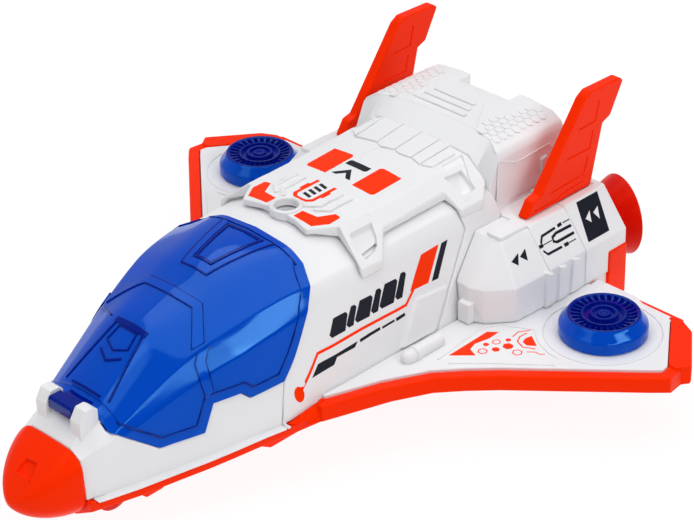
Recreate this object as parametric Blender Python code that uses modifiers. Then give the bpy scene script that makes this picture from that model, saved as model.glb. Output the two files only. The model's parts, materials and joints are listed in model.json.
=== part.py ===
"""Toy space shuttle with an opening canopy, two spinning wing discs and free-running wheels."""
import math

import bmesh
import bpy
from mathutils import Matrix, Vector

# Driving dimensions, in millimetres. +X is the port side, -Y the nose, Z = 0 the floor.
MM = 0.001
GAP = 0.3                   # running and seating gap between neighbouring pieces
DATUM_Z = 38.0              # height of the wing discs' seats above the floor
WALL = 2.0                  # thickness of the moulded shells

NOSE_Y = -201.0             # where the nose cap meets the cockpit
NOSE_TIP_Y = -223.1
TAIL_Y = 63.6               # tips of the fins, the rearmost points
ORIGIN_Y = 0.5 * (NOSE_TIP_Y + TAIL_Y)   # the disc axis is y = 0 in the tables, the origin is mid-length
SEAM_TOP = (-121.9, 5.6)    # seam between cockpit and fuselage, side view (y, z)
SEAM_FOOT = (-126.4, -11.0)
FUSELAGE_REAR_Y = -19.0     # rear edge of the fuselage's roof and upper sides
HULL_REAR_Y = 1.5
BAND_PROUD = 0.6            # the band round the fuselage's rear end stands this proud of it
REAR_SEAM = (
    # side view (y, z) of the seam in front of that band
    (FUSELAGE_REAR_Y, 90.0), (FUSELAGE_REAR_Y, 28.0), (-31.5, 10.6), (-44.7, -6.6), (-46.0, -60.0),
)
DECK_REAR_Y = 46.0
SILL_Z = -11.0              # lower edge of the white shells
LEDGE_OUT = 3.0             # ledge along the cockpit's sill
LEDGE_THICK = 0.8
LEDGE_FRONT_Y = -198.5
LEDGE_REAR_Y = -124.7
SIDE_PANEL = ((-51.9, 11.9), (-33.9, 10.6), (-46.3, -4.0), (-64.3, -3.9))   # raised panel, side view (y, z)
SIDE_PANEL_PROUD = 1.4

DISC_X = 100.0
DISC_RADIUS = 18.2
DISC_TOP_RADIUS = 14.8
DISC_HEIGHT = 5.2
PANEL_TOP_Z = -4.5
WING_TOP_Z = -5.2
WING_BOTTOM_Z = -12.2
SPINDLE_RADIUS = 2.4
NUB_X = 57.0                # small round-nosed barrel lying on the wing root
NUB_RISE = 1.6              # its axis lies this high over the panel
NUB_FRONT_Y = -71.6
NUB_REAR_Y = -50.0
NUB_PROFILE = ((0.0, 0.0), (1.6, 0.5), (2.6, 1.6), (3.0, 3.0), (3.0, NUB_REAR_Y - NUB_FRONT_Y),
               (0.0, NUB_REAR_Y - NUB_FRONT_Y))     # radius, distance from the front

HOUSING_FRONT_Y = 1.3
POD_OUTER_X = 70.8
POD_FRONT_Y = 1.0
POD_REAR_Y = 48.7
COVER_FRONT_Y = 40.7        # front of the orange cover below the pod's rear end
COVER_TOP_Z = 3.0
POD_TOP_Z = 27.6
NOZZLE_X = 53.0
NOZZLE_Z = 8.9
NOZZLE_RIM_RADIUS = 20.0
NOZZLE_RIM_Y = 60.0
NOZZLE_LIP = 1.8
THROAT_RADIUS = 11.5

FIN_FOOT_Z = 28.0
FIN_X = 50.0
FIN_THICKNESS = 5.0
FIN_PROFILE = (
    # side view (y, z), from the front of its foot round by the rear and the tip
    (3.6, FIN_FOOT_Z), (44.5, FIN_FOOT_Z), (51.2, 54.6), (56.0, 56.4), (TAIL_Y, 70.0), (61.4, 71.6),
    (42.5, 72.0), (38.4, 69.6), (12.4, 35.5), (8.0, 34.5),
)

HINGE_Y = -192.5
HINGE_Z = 9.8
PIN_RADIUS = 1.5
PIN_REACH = 3.0             # how far the hinge pins go into the ears
CLIP_FLOOR_Z = 5.6          # floor of the space between the ears
KNUCKLE_HALF = 6.6
EAR_INNER_X = 7.0
EAR_OUTER_X = 13.0
EAR_PROFILE = (
    # side view (y, z) of the hinge's ears
    (-197.0, -2.0), (-188.0, -2.0), (-188.0, 12.0), (-190.0, 13.7), (-194.0, 13.7), (-197.0, 9.0),
)
HINGE_ARM = (
    # side view (y, z) of the canopy's arm, measured from the hinge axis
    (-2.8, -1.4), (-1.2, -2.8), (2.0, -2.8), (7.9, -2.4), (7.9, 0.2), (4.5, 0.0), (1.4, 2.8), (-1.2, 2.8),
    (-2.8, 1.4),
)

AXLE_RADIUS = 1.5
WELL_ROOM = 1.6             # room between a wheel and its arch
BEARING_HALF = 4.0          # half length of a bearing block along the hull
AXLES = (
    # name, y, wheel centre x, wheel width, wheel radius, bearing block from x, to x
    ("front_wheels", -182.3, 8.5, 6.0, 8.5, 0.0, 4.4),
    ("rear_wheels", 14.0, 38.0, 9.0, 12.0, 22.0, 31.0),
)

CHASSIS_REAR_Y = 40.0
CHASSIS_EDGE_X = 51.2       # the tray stops here, inside the wings' roots
CHASSIS_SIDE = 3.6          # height of the tray's upright side
CHASSIS_KEEL = 10.5         # depth of its flat bottom under the sill
KEEL_SHARE = 0.55           # width of that bottom against the sill's
FAIRINGS = (
    # name, front y, rear y, inner x, outer x, z at the ends, z at the bottom, half length of the flat
    ("fairing_front", -186.0, -165.0, 16.0, 27.0, -20.0, -26.2, 4.0),
    ("fairing_middle", -139.0, -100.0, 26.0, 40.0, -17.0, -24.0, 8.0),
)

SOCKET_Y = -77.5
SOCKET_RADIUS = 5.0
SOCKET_FLOOR_Z = 40.5
SOCKET_LIP = 1.4            # thickness of the ring round the socket
SOCKET_LIP_HIGH = 3.6       # its height, most of it sunk in the plate
SOCKET_TOP_Z = 49.4

HULL_SECTIONS = (
    # y, sill x, sill z, side crease x, side crease z, roof crease x, roof crease z, crown z
    (-201.0, 18.4, -20.3, 16.4, -3.1, 11.2, -0.2, 0.0),
    (-194.0, 20.9, -20.0, 18.0, -0.6, 10.8, 5.4, 5.6),
    (-187.0, 23.6, -19.4, 19.6, 1.9, 10.8, 8.2, 8.5),
    (-183.0, 25.2, -19.0, 20.6, 4.0, 11.0, 11.0, 11.4),
    (-166.0, 32.7, -15.9, 24.0, 13.0, 10.6, 23.0, 23.6),
    (-158.0, 36.1, -14.6, 25.8, 17.0, 11.0, 28.0, 28.8),
    (-149.0, 39.4, -13.2, 28.0, 21.6, 12.0, 31.0, 32.0),
    (-135.0, 43.4, -11.7, 31.6, 27.2, 14.1, 34.8, 36.2),
    (-124.0, 46.4, -11.0, 33.2, 31.0, 14.4, 39.2, 40.4),
    (-110.0, 50.6, -11.0, 34.2, 33.6, 16.5, 41.9, 43.2),
    (-97.0, 51.0, -11.0, 34.9, 34.3, 19.0, 42.7, 44.1),
    (-60.0, 51.0, -11.0, 36.3, 35.2, 20.0, 42.8, 44.1),
    (HULL_REAR_Y, 51.0, -11.0, 37.4, 36.0, 22.0, 43.2, 44.4),
)
BAND_OUT = 4.6              # the chamfer below the side crease reaches this far out
BAND_DROP = 6.0

CANOPY_EDGE = (
    # side view (y, z) of the canopy's lower edge, from nose to roof
    (-187.9, 3.3), (-185.9, 2.6), (-172.3, -6.8), (-155.6, -5.1), (-150.1, 5.3), (-139.2, 6.3),
    (-136.3, 3.5), SEAM_TOP, (-115.5, 13.2), (-105.2, 27.2), (-98.5, 34.9), (-94.2, 39.3), (-93.2, 46.0),
)

LEADING_EDGE = (
    # plan view (x, y) of the white wing panel's front edge, from the hull outwards
    (50.6, -108.0), (58.5, -85.7), (67.9, -67.3), (76.8, -57.0), (86.6, -47.2), (100.0, -35.6),
)
TIP_FRONT = ((131.0, -8.6), (134.6, -5.2), (134.2, -1.6))
TIP_REAR = (114.2, 25.4)
WING_BORDER = 5.4
TIP_RAIL = (
    # plan view (x, y) of the raised rail round the wing tip
    (138.1, -1.2), (141.8, 4.2), (126.1, 24.5), (118.8, 28.2), (112.7, 28.5), (113.2, 23.0), (133.8, -0.8),
)
RAIL_TOP_Z = -4.2
WING_FLOOR = 3.0            # thickness of the frame under the white panel
STRAKE = (
    # y, top z, top outer x, bottom outer x of the frame's front end, which fairs into the fuselage's side
    (-124.3, -10.4, 47.2, 50.2),
    (-118.4, -8.3, 49.6, 51.8),
    (-113.9, -6.8, 51.4, 53.8),
    (-109.4, -5.4, 53.4, 55.2),
    (-103.0, -5.2, 55.8, 57.0),
)
STRAKE_INNER_X = 44.0
WING_ROOT_X = 51.9          # the orange wing frames start this far out, just clear of the fuselage side
PANEL_ROOT_X = 47.0         # the white panels reach further in and are cut to the fuselage's slope


def clear_scene():
    for obj in list(bpy.data.objects):
        bpy.data.objects.remove(obj, do_unlink=True)


def new_collection(name):
    collection = bpy.data.collections.new(name)
    bpy.context.scene.collection.children.link(collection)
    return collection


clear_scene()
PARTS = new_collection("toy_space_shuttle")
CUTTERS = new_collection("cutters")


def material(name, colour, roughness, metallic=0.0, transmission=0.0):
    mat = bpy.data.materials.new(name)
    mat.use_nodes = True
    shader = mat.node_tree.nodes["Principled BSDF"]
    shader.inputs["Base Color"].default_value = (*colour, 1.0)
    shader.inputs["Roughness"].default_value = roughness
    shader.inputs["Metallic"].default_value = metallic
    shader.inputs["Transmission Weight"].default_value = transmission
    return mat


def place(obj, mat=None):
    """Put an object in the part's collection, or among the cutters when it has no material."""
    for collection in list(obj.users_collection):
        collection.objects.unlink(obj)
    if mat is None:
        CUTTERS.objects.link(obj)
        obj.hide_render = True
        obj.display_type = "WIRE"
    else:
        PARTS.objects.link(obj)
        obj.data.materials.clear()
        obj.data.materials.append(mat)
    return obj


def finish_mesh(name, bm, mat, origin=(0.0, 0.0, 0.0)):
    """Turn a bmesh in millimetres into an object in metres, with its origin where asked."""
    bmesh.ops.recalc_face_normals(bm, faces=bm.faces)
    shift = Matrix.Translation(-Vector(origin))
    bmesh.ops.transform(bm, matrix=Matrix.Scale(MM, 4) @ shift, verts=bm.verts)
    mesh = bpy.data.meshes.new(name)
    bm.to_mesh(mesh)
    bm.free()
    obj = bpy.data.objects.new(name, mesh)
    obj.location = (Vector(origin) - Vector((0.0, ORIGIN_Y, 0.0))) * MM
    return place(obj, mat)


def up(z):
    """Height above the floor of a height given from the disc seats."""
    return z + DATUM_Z


def loft(name, rings, mat, origin=(0.0, 0.0, 0.0)):
    """Skin through closed rings of like point counts, capped at both ends."""
    bm = bmesh.new()
    loops = [[bm.verts.new(point) for point in ring] for ring in rings]
    count = len(loops[0])
    for near, far in zip(loops, loops[1:]):
        for i in range(count):
            j = (i + 1) % count
            bm.faces.new((near[i], near[j], far[j], far[i]))
    bmesh.ops.triangulate(bm, faces=bm.faces[:])
    bm.faces.new(loops[0])
    bm.faces.new(loops[-1])
    return finish_mesh(name, bm, mat, origin)


def prism(name, outline, axis, low, high, mat=None, origin=(0.0, 0.0, 0.0)):
    """Extrude a flat outline along X, Y or Z from low to high."""
    bm = bmesh.new()
    put = {
        "X": lambda a, b: (low, a, up(b)),
        "Y": lambda a, b: (a, low, up(b)),
        "Z": lambda a, b: (a, b, up(low)),
    }[axis]
    step = Vector({"X": (1, 0, 0), "Y": (0, 1, 0), "Z": (0, 0, 1)}[axis]) * (high - low)
    face = bm.faces.new([bm.verts.new(put(a, b)) for a, b in outline])
    grown = bmesh.ops.extrude_face_region(bm, geom=[face])["geom"]
    bmesh.ops.translate(bm, vec=step, verts=[g for g in grown if isinstance(g, bmesh.types.BMVert)])
    return finish_mesh(name, bm, mat, origin)


def box(name, x, y, z, mat=None):
    """Axis-aligned block between pairs of limits."""
    return prism(name, ((x[0], y[0]), (x[1], y[0]), (x[1], y[1]), (x[0], y[1])), "Z", z[0], z[1], mat)


def turned(name, profile, axis, centre, mat, steps=48):
    """Turn a profile of (radius, along) points about an axis with a Screw modifier."""
    bm = bmesh.new()
    verts = [bm.verts.new((radius * MM, 0.0, along * MM)) for radius, along in profile]
    for a, b in zip(verts, verts[1:]):
        bm.edges.new((a, b))
    mesh = bpy.data.meshes.new(name)
    bm.to_mesh(mesh)
    bm.free()
    obj = bpy.data.objects.new(name, mesh)
    obj.location = (Vector(centre) - Vector((0.0, ORIGIN_Y, 0.0))) * MM
    turn = {"Z": (0.0, 0.0, 0.0), "Y": (-math.pi / 2, 0.0, 0.0), "X": (0.0, math.pi / 2, 0.0)}
    obj.rotation_euler = turn[axis]
    screw = obj.modifiers.new("turn", "SCREW")
    screw.steps = steps
    screw.render_steps = steps
    screw.use_merge_vertices = True
    screw.merge_threshold = 0.00001
    return place(obj, mat)


def cylinder(name, radius, axis, centre, length, mat=None, sides=32):
    bm = bmesh.new()
    bmesh.ops.create_cone(bm, cap_ends=True, segments=sides, radius1=radius, radius2=radius, depth=length)
    quarter = math.pi / 2
    turn = {"Z": Matrix(), "Y": Matrix.Rotation(quarter, 4, "X"), "X": Matrix.Rotation(quarter, 4, "Y")}
    bmesh.ops.transform(bm, matrix=Matrix.Translation(Vector(centre)) @ turn[axis], verts=bm.verts)
    return finish_mesh(name, bm, mat, centre if mat else (0.0, 0.0, 0.0))


def boolean(obj, other, operation):
    mod = obj.modifiers.new(operation.lower(), "BOOLEAN")
    mod.operation = operation
    mod.solver = "EXACT"
    mod.object = other
    return mod


def cut(obj, *cutters):
    for cutter in cutters:
        boolean(obj, cutter, "DIFFERENCE")


def join(obj, *pieces):
    for piece in pieces:
        boolean(obj, piece, "UNION")


def keep(obj, region):
    boolean(obj, region, "INTERSECT")


def mirror_ring(half):
    """Close a half section, given from bottom centre to top centre, by its mirror image."""
    return half + [(-x, y, z) for x, y, z in reversed(half) if x > 0.0]


def both(outline, side):
    return [(side * x, y) for x, y in outline]


def inset(outline, distance):
    """Move each side of a closed outline inwards by a distance."""
    count = len(outline)
    area = sum(a[0] * b[1] - b[0] * a[1] for a, b in zip(outline, outline[1:] + outline[:1]))
    sign = 1.0 if area > 0 else -1.0
    moved = []
    for i in range(count):
        before, here, after = (Vector(outline[(i + k) % count]) for k in (-1, 0, 1))
        d1 = (here - before).normalized()
        d2 = (after - here).normalized()
        n1 = Vector((-d1.y, d1.x)) * sign
        n2 = Vector((-d2.y, d2.x)) * sign
        corner = here + (n1 + n2) * (distance / (1.0 + n1.dot(n2)))
        moved.append((corner.x, corner.y))
    return moved


WHITE = material("white_plastic", (0.86, 0.86, 0.87), 0.35)
ORANGE = material("orange_plastic", (0.95, 0.06, 0.005), 0.35)
RED = material("red_plastic", (0.62, 0.01, 0.003), 0.35)
BLUE = material("blue_clear_plastic", (0.0, 0.04, 0.55), 0.1, transmission=0.6)
DARK = material("dark_plastic", (0.03, 0.03, 0.04), 0.5)

# Hull shells: cockpit and fuselage are cut from one lofted body, shared with the canopy.


def hull_ring(section, offset=0.0, drop=0.0):
    """Section of the hull moved inwards by an offset, its floor lowered by a drop."""
    y, sill_x, sill_z, side_x, side_z, roof_x, roof_z, crown_z = section
    share = min(1.0, (y - NOSE_Y) / (SEAM_TOP[0] - NOSE_Y))
    band_x = side_x + BAND_OUT * share
    band_z = side_z - BAND_DROP * share - 0.4
    half = [
        (0.0, y, up(sill_z - drop)),
        (sill_x - offset, y, up(sill_z - drop)),
        (band_x - offset, y, up(band_z - 0.3 * offset)),
        (side_x - 0.8 * offset, y, up(side_z - 0.8 * offset)),
        (roof_x - 0.3 * offset, y, up(roof_z - offset)),
        (0.0, y, up(crown_z - offset)),
    ]
    return mirror_ring(half)


def hull_body(name, mat, offset=0.0, drop=0.0, origin=(0.0, 0.0, 0.0), longer=0.0):
    """The whole hull as one solid, its rear end drawn out by a length."""
    rings = [hull_ring(section, offset, drop) for section in HULL_SECTIONS]
    rings[-1] = [(x, y + longer, z) for x, y, z in rings[-1]]
    return loft(name, rings, mat, origin)


TOP = 90.0                  # cutters reach this far up, down and sideways, past every piece
BOTTOM = -60.0
REACH = 80.0
COCKPIT_FRONT_Y = -184.0    # ends of the hollow inside the cockpit
COCKPIT_REAR_Y = -83.6
CANOPY_REGION = list(CANOPY_EDGE) + [(CANOPY_EDGE[-1][0], TOP), (CANOPY_EDGE[0][0], TOP)]

canopy_space = prism("canopy_space", CANOPY_REGION, "X", -REACH, REACH)
canopy_region = prism("canopy_region", inset(CANOPY_REGION, GAP), "X", -REACH, REACH)
SEAM_ABOVE = (-80.0, TOP)    # the seam's line is carried on to here, inside the canopy's space
seam_rear = prism(
    "seam_rear", [SEAM_FOOT, (SEAM_FOOT[0], BOTTOM), (TOP, BOTTOM), (TOP, TOP), SEAM_ABOVE, SEAM_TOP],
    "X", -REACH, REACH)
seam_front = prism(
    "seam_front",
    [(SEAM_FOOT[0] + GAP, SEAM_FOOT[1]), (SEAM_FOOT[0] + GAP, BOTTOM), (2.0 * NOSE_Y, BOTTOM),
     (2.0 * NOSE_Y, TOP), (SEAM_ABOVE[0] + GAP, TOP), (SEAM_TOP[0] + GAP, SEAM_TOP[1])],
    "X", -REACH, REACH)
hull_hollow = hull_body("hull_hollow", None, offset=WALL, drop=-WALL)
keep(hull_hollow, box("cockpit_ends", (-REACH, REACH), (COCKPIT_FRONT_Y, COCKPIT_REAR_Y), (BOTTOM, TOP)))
behind_rear_seam = prism("behind_rear_seam", [*REAR_SEAM, (TOP, BOTTOM), (TOP, TOP)], "X", -REACH, REACH)
BAND_REAR_Y = HOUSING_FRONT_Y + 0.2
rear_band_region = prism(
    "rear_band_region", [(y + GAP, z) for y, z in REAR_SEAM] + [(BAND_REAR_Y, BOTTOM), (BAND_REAR_Y, TOP)],
    "X", -REACH, REACH)


def sill_ledge(name, grow=0.0):
    """The ledge along the cockpit's sill, as a slab that follows the sill, grown by a clearance."""
    rings = []
    for section, after in zip(HULL_SECTIONS, HULL_SECTIONS[1:]):
        ends = [section]
        for limit in (LEDGE_FRONT_Y - grow, LEDGE_REAR_Y + grow):
            if section[0] < limit < after[0]:
                share = (limit - section[0]) / (after[0] - section[0])
                ends.append([a + share * (b - a) for a, b in zip(section, after)])
        for y, x, z in (end[:3] for end in ends):
            if LEDGE_FRONT_Y - grow <= y <= LEDGE_REAR_Y + grow:
                edge, low = x + LEDGE_OUT + grow, z - LEDGE_THICK - grow
                rings.append(mirror_ring([(0.0, y, up(low)), (edge, y, up(low)), (edge, y, up(z + grow)),
                                          (0.0, y, up(z + grow))]))
    return loft(name, rings, None)


def build_cockpit():
    hull = hull_body("cockpit_hull", WHITE)
    join(hull, sill_ledge("cockpit_ledge"))
    cut(hull, canopy_space, seam_rear, hull_hollow)
    for side in (-1, 1):
        ear = prism("ear_block", EAR_PROFILE, "X", *sorted((side * EAR_INNER_X, side * EAR_OUTER_X)))
        join(hull, ear)
    clip_half = EAR_INNER_X - 0.01
    clip_y = (EAR_PROFILE[0][0], EAR_PROFILE[1][0] + 2.0)
    cut(hull, box("clip_space", (-clip_half, clip_half), clip_y, (CLIP_FLOOR_Z, TOP)))
    pin_length = 2 * (EAR_INNER_X + PIN_REACH)
    cut(hull, cylinder("pin_hole", PIN_RADIUS, "X", (0.0, HINGE_Y, up(HINGE_Z)), pin_length))
    return hull


def build_fuselage():
    hull = hull_body("fuselage_shell", WHITE)
    join(hull, sill_ledge("fuselage_ledge"))
    for side in (-1, 1):
        raised = prism("side_panel", SIDE_PANEL, "X", *sorted((side * 40.0, side * 60.0)))
        keep(raised, hull_body("panel_skin", None, offset=-SIDE_PANEL_PROUD))
        join(hull, raised)
    cut(hull, canopy_space, seam_front, hull_hollow, behind_rear_seam)
    depth = SOCKET_TOP_Z - SOCKET_FLOOR_Z
    cut(hull, cylinder("socket_well", SOCKET_RADIUS, "Z", (0.0, SOCKET_Y, up(SOCKET_TOP_Z)), 2 * depth))
    return hull


def build_canopy():
    outer = hull_body("canopy", BLUE, offset=-0.6, origin=(0.0, HINGE_Y, up(HINGE_Z)))
    inner = hull_body("canopy_inside", None, offset=WALL, drop=20.0)
    keep(outer, canopy_region)
    cut(outer, inner)
    outline = [(HINGE_Y + y, HINGE_Z + z) for y, z in HINGE_ARM]
    arm = prism("hinge_arm", outline, "X", -KNUCKLE_HALF, KNUCKLE_HALF)
    join(outer, arm)
    pin = cylinder("hinge_pins", PIN_RADIUS - GAP, "X", (0.0, HINGE_Y, up(HINGE_Z)),
                   2 * (EAR_INNER_X + PIN_REACH) - 1.0)
    join(outer, pin)
    return outer


# Nose cap: an orange moulding whose top slopes down to a blunt, low tip.
NOSE_STEPS = 9
NOSE_SECTION = (
    # half section (x, z) where the cap meets the cockpit
    (0.0, -29.9), (6.5, -29.6), (12.0, -28.1), (16.3, -24.6), (18.4, -19.8), (18.4, -9.5), (17.8, -5.4),
    (16.4, -3.1), (13.8, -1.1), (11.2, -0.2), (6.0, 0.2), (0.0, 0.3),
)
NOSE_CENTRE_Z = -18.9       # height of the tip
NOSE_PLAN = 1.63            # exponents of the outline in plan and of its two halves in side view
NOSE_UPPER = 1.2
NOSE_LOWER = 1.91


def build_nose():
    y0 = NOSE_Y - GAP
    length = y0 - NOSE_TIP_Y
    rings = []
    for step in range(NOSE_STEPS + 1):
        along = math.sin(0.5 * math.pi * min(step / NOSE_STEPS, 0.985))
        plan, upper, lower = ((1.0 - along ** power) ** (1.0 / power)
                              for power in (NOSE_PLAN, NOSE_UPPER, NOSE_LOWER))
        ring = []
        for x, z in NOSE_SECTION:
            rise = z - NOSE_CENTRE_Z
            rise *= upper if rise > 0 else lower
            ring.append((x * plan, y0 - along * length, up(NOSE_CENTRE_Z + rise)))
        rings.append(mirror_ring(ring))
    return loft("nose_cap", rings, ORANGE)


def build_chassis():
    """Orange tray under the hull, with belly fairings and arches for the wheels."""
    rings = []
    for section in HULL_SECTIONS:
        y, sill_x, sill = section[:3]
        edge = min(sill_x + LEDGE_OUT - 0.4, CHASSIS_EDGE_X)
        top = up(sill - GAP)
        low = up(sill - LEDGE_THICK - CHASSIS_SIDE)
        keel = up(sill - CHASSIS_KEEL)
        rings.append(mirror_ring([(0.0, y, keel), (KEEL_SHARE * sill_x, y, keel), (edge - 0.4, y, low),
                                  (edge, y, top), (0.0, y, top)]))
    rings.append([(x, CHASSIS_REAR_Y, z) for x, y, z in rings[-1]])
    tray = loft("chassis", rings, ORANGE)
    for side in (-1, 1):
        for name, y0, y1, x0, x1, shallow, depth, flat in FAIRINGS:
            middle = 0.5 * (y0 + y1)
            outline = [(y0, shallow), (middle - flat, depth), (middle + flat, depth), (y1, shallow)]
            join(tray, prism(name, outline, "X", *sorted((side * x0, side * x1))))
    cut(tray, sill_ledge("ledge_seat", GAP))
    for name, y, x, width, radius, block_from, block_to in AXLES:
        low = radius - DATUM_Z - AXLE_RADIUS - WALL
        high = radius - DATUM_Z + BEARING_HALF + WALL
        for side in (-1, 1):
            well_width = width + 2 * WELL_ROOM
            cut(tray, cylinder("wheel_well", radius + WELL_ROOM, "X", (side * x, y, radius), well_width))
            block = box("bearing", sorted((side * block_from, side * block_to)),
                        (y - BEARING_HALF, y + BEARING_HALF), (low, high))
            join(tray, block)
        cut(tray, cylinder("axle_bore", AXLE_RADIUS + GAP, "X", (0.0, y, radius), 2 * x))
    return tray


TYRE_EDGE = 2.0             # width and depth of the bevel at a wheel's rims


def build_wheels():
    for name, y, x, width, rim in (axle[:5] for axle in AXLES):
        axle = cylinder(name, AXLE_RADIUS, "X", (0.0, y, rim), 2 * x, RED)
        half = 0.5 * width
        tread = [(0.0, half), (rim - TYRE_EDGE, half), (rim, half - TYRE_EDGE), (rim, TYRE_EDGE - half),
                 (rim - TYRE_EDGE, -half), (0.0, -half)]
        for side in (-1, 1):
            wheel = turned(name + "_disc", tread, "X", (side * x, y, rim), None)
            join(axle, wheel)


def wing_outlines():
    """White panel outline and the orange frame outline around it, plan view, port side."""
    panel = [(PANEL_ROOT_X, LEADING_EDGE[0][1]), *LEADING_EDGE, *TIP_FRONT, TIP_REAR, (PANEL_ROOT_X, TIP_REAR[1])]
    frame = inset(panel, -WING_BORDER)
    frame = [(max(x, WING_ROOT_X), y) for x, y in frame]
    return panel, frame


def strake(side):
    """Front end of a wing's orange frame, which narrows forward along the fuselage's side."""
    rings = []
    for y, top, top_x, low_x in STRAKE:
        rings.append([(side * x, y, up(z)) for x, z in (
            (STRAKE_INNER_X, WING_BOTTOM_Z), (low_x, WING_BOTTOM_Z), (top_x, top), (STRAKE_INNER_X, top))])
    return loft("strake", rings, None)


def build_wings():
    panel, frame = wing_outlines()
    floor = WING_BOTTOM_Z + WING_FLOOR
    for side, tag in ((-1, "starboard"), (1, "port")):
        body = prism("wing_frame_" + tag, both(frame, side), "Z", WING_BOTTOM_Z, WING_TOP_Z, ORANGE)
        join(body, prism("tip_rail", both(TIP_RAIL, side), "Z", WING_BOTTOM_Z, RAIL_TOP_Z), strake(side))
        cut(body, prism("panel_seat", both(inset(panel, -GAP), side), "Z", floor, TOP))
        skin = prism("wing_panel_" + tag, both(panel, side), "Z", floor + GAP, PANEL_TOP_Z, WHITE)
        high = 2 * GAP + DISC_HEIGHT
        at = (side * DISC_X, 0.0, up(PANEL_TOP_Z + 0.5 * high))
        join(skin, cylinder("spindle", SPINDLE_RADIUS, "Z", at, high))
        nub = [(radius, -along) for radius, along in NUB_PROFILE]
        at = (side * NUB_X, NUB_FRONT_Y, up(PANEL_TOP_Z + NUB_RISE))
        barrel = turned("wing_nub", nub, "Y", at, None, steps=16)
        barrel.rotation_euler = (math.pi / 2, 0.0, 0.0)
        join(skin, barrel)
        pod_cut = box("pod_cut", sorted((side * PANEL_ROOT_X, side * (POD_OUTER_X + GAP))),
                      (POD_FRONT_Y - GAP, REACH), (BOTTOM, TOP))
        front_root = hull_body("front_root", None, offset=-1.5 * GAP)
        rear_root = hull_body("rear_root", None, offset=-BAND_PROUD - 1.5 * GAP)
        behind = box("rear_root_part", (-REACH, REACH), (REAR_SEAM[-1][0] - 2.0, REACH), (BOTTOM, TOP))
        keep(rear_root, behind)
        tray_room = box("tray_room", sorted((side * STRAKE_INNER_X, side * (CHASSIS_EDGE_X + GAP))),
                        (SEAM_FOOT[0], POD_FRONT_Y), (BOTTOM, SILL_Z))
        cut(skin, pod_cut, front_root, rear_root)
        cut(body, pod_cut, front_root, tray_room)


def build_discs():
    base = PANEL_TOP_Z + GAP
    bore = SPINDLE_RADIUS + GAP
    hub, dish = DISC_HEIGHT - 0.6, DISC_HEIGHT - 2.2
    for side, tag in ((-1, "starboard"), (1, "port")):
        profile = [
            (bore, hub), (6.0, hub), (6.8, dish), (8.4, dish), (9.2, DISC_HEIGHT),
            (DISC_TOP_RADIUS, DISC_HEIGHT), (DISC_RADIUS, 1.2), (DISC_RADIUS, base), (bore, base), (bore, hub),
        ]
        turned("wing_disc_" + tag, profile, "Z", (side * DISC_X, 0.0, up(0.0)), BLUE)


HOUSING_HALF = [
    # half section (x, z) of the rear housing, from its foot to the edge of its flat top
    (51.2, SILL_Z), (47.0, 10.0), (40.0, 27.6), (39.4, 28.0), (38.6, 49.2), (37.2, 51.8), (32.0, 54.8),
    (20.0, 56.0),
]
HOUSING_OUTLINE = HOUSING_HALF + both(list(reversed(HOUSING_HALF)), -1)
HOUSING_PLAN_HALF = [
    # plan view (x, y), from the rear round to the bowed front edge of the deck
    (60.0, DECK_REAR_Y + 4.0), (60.0, HOUSING_FRONT_Y), (40.0, HOUSING_FRONT_Y), (38.6, 4.4), (31.0, 7.8),
    (20.0, 9.4), (8.0, 9.9),
]
HOUSING_PLAN = HOUSING_PLAN_HALF + both(list(reversed(HOUSING_PLAN_HALF)), -1)
DECK_NOTCH = ((36.5, TOP), (36.5, 56.1), (DECK_REAR_Y + 0.5, 50.6), (DECK_REAR_Y + 0.5, TOP))
DECK_NOTCH_HALF = 14.0

POD_BLOCK = (
    # height, plan view (x, y) of the front block's corners, from its front left round to its inner rear
    (-4.2, ((53.8, -31.2), (61.3, -28.4), (69.7, -18.0), (70.5, 3.0), (39.0, 3.0), (39.0, -28.0))),
    (11.0, ((54.4, -30.5), (60.9, -28.2), (69.5, -18.2), (70.4, 3.0), (39.0, 3.0), (39.0, -28.0))),
    (26.6, ((48.2, -15.0), (57.4, -15.3), (58.0, -14.7), (58.8, 3.0), (39.0, 3.0), (39.0, -14.0))),
)
POD_INNER_X = 39.0
POD_SECTION = [
    (POD_INNER_X, -16.0), (POD_OUTER_X, -16.0), (POD_OUTER_X, 12.0), (58.5, POD_TOP_Z), (POD_INNER_X, POD_TOP_Z),
]
FOOT_Z = PANEL_TOP_Z + GAP  # what stands on the wing panels starts here
POD_RIBS = ((-2.4, 2.4), (5.2, 10.4), (13.4, 19.0))   # front and rear of each rib on the pod's side
RIB_TOP_Z = 12.0
RIB_PROUD = 1.2
COLLAR_FRONT_Y = 23.0
COLLAR_PROUD = 0.8
POD_POST = ((51.0, 57.2), (-33.2, -26.0), (FOOT_Z, 5.0))   # x, y, z limits of the post at the pod's front
COVER_X = (52.0, 69.8)
COVER_LOW_Z = -24.0


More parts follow.
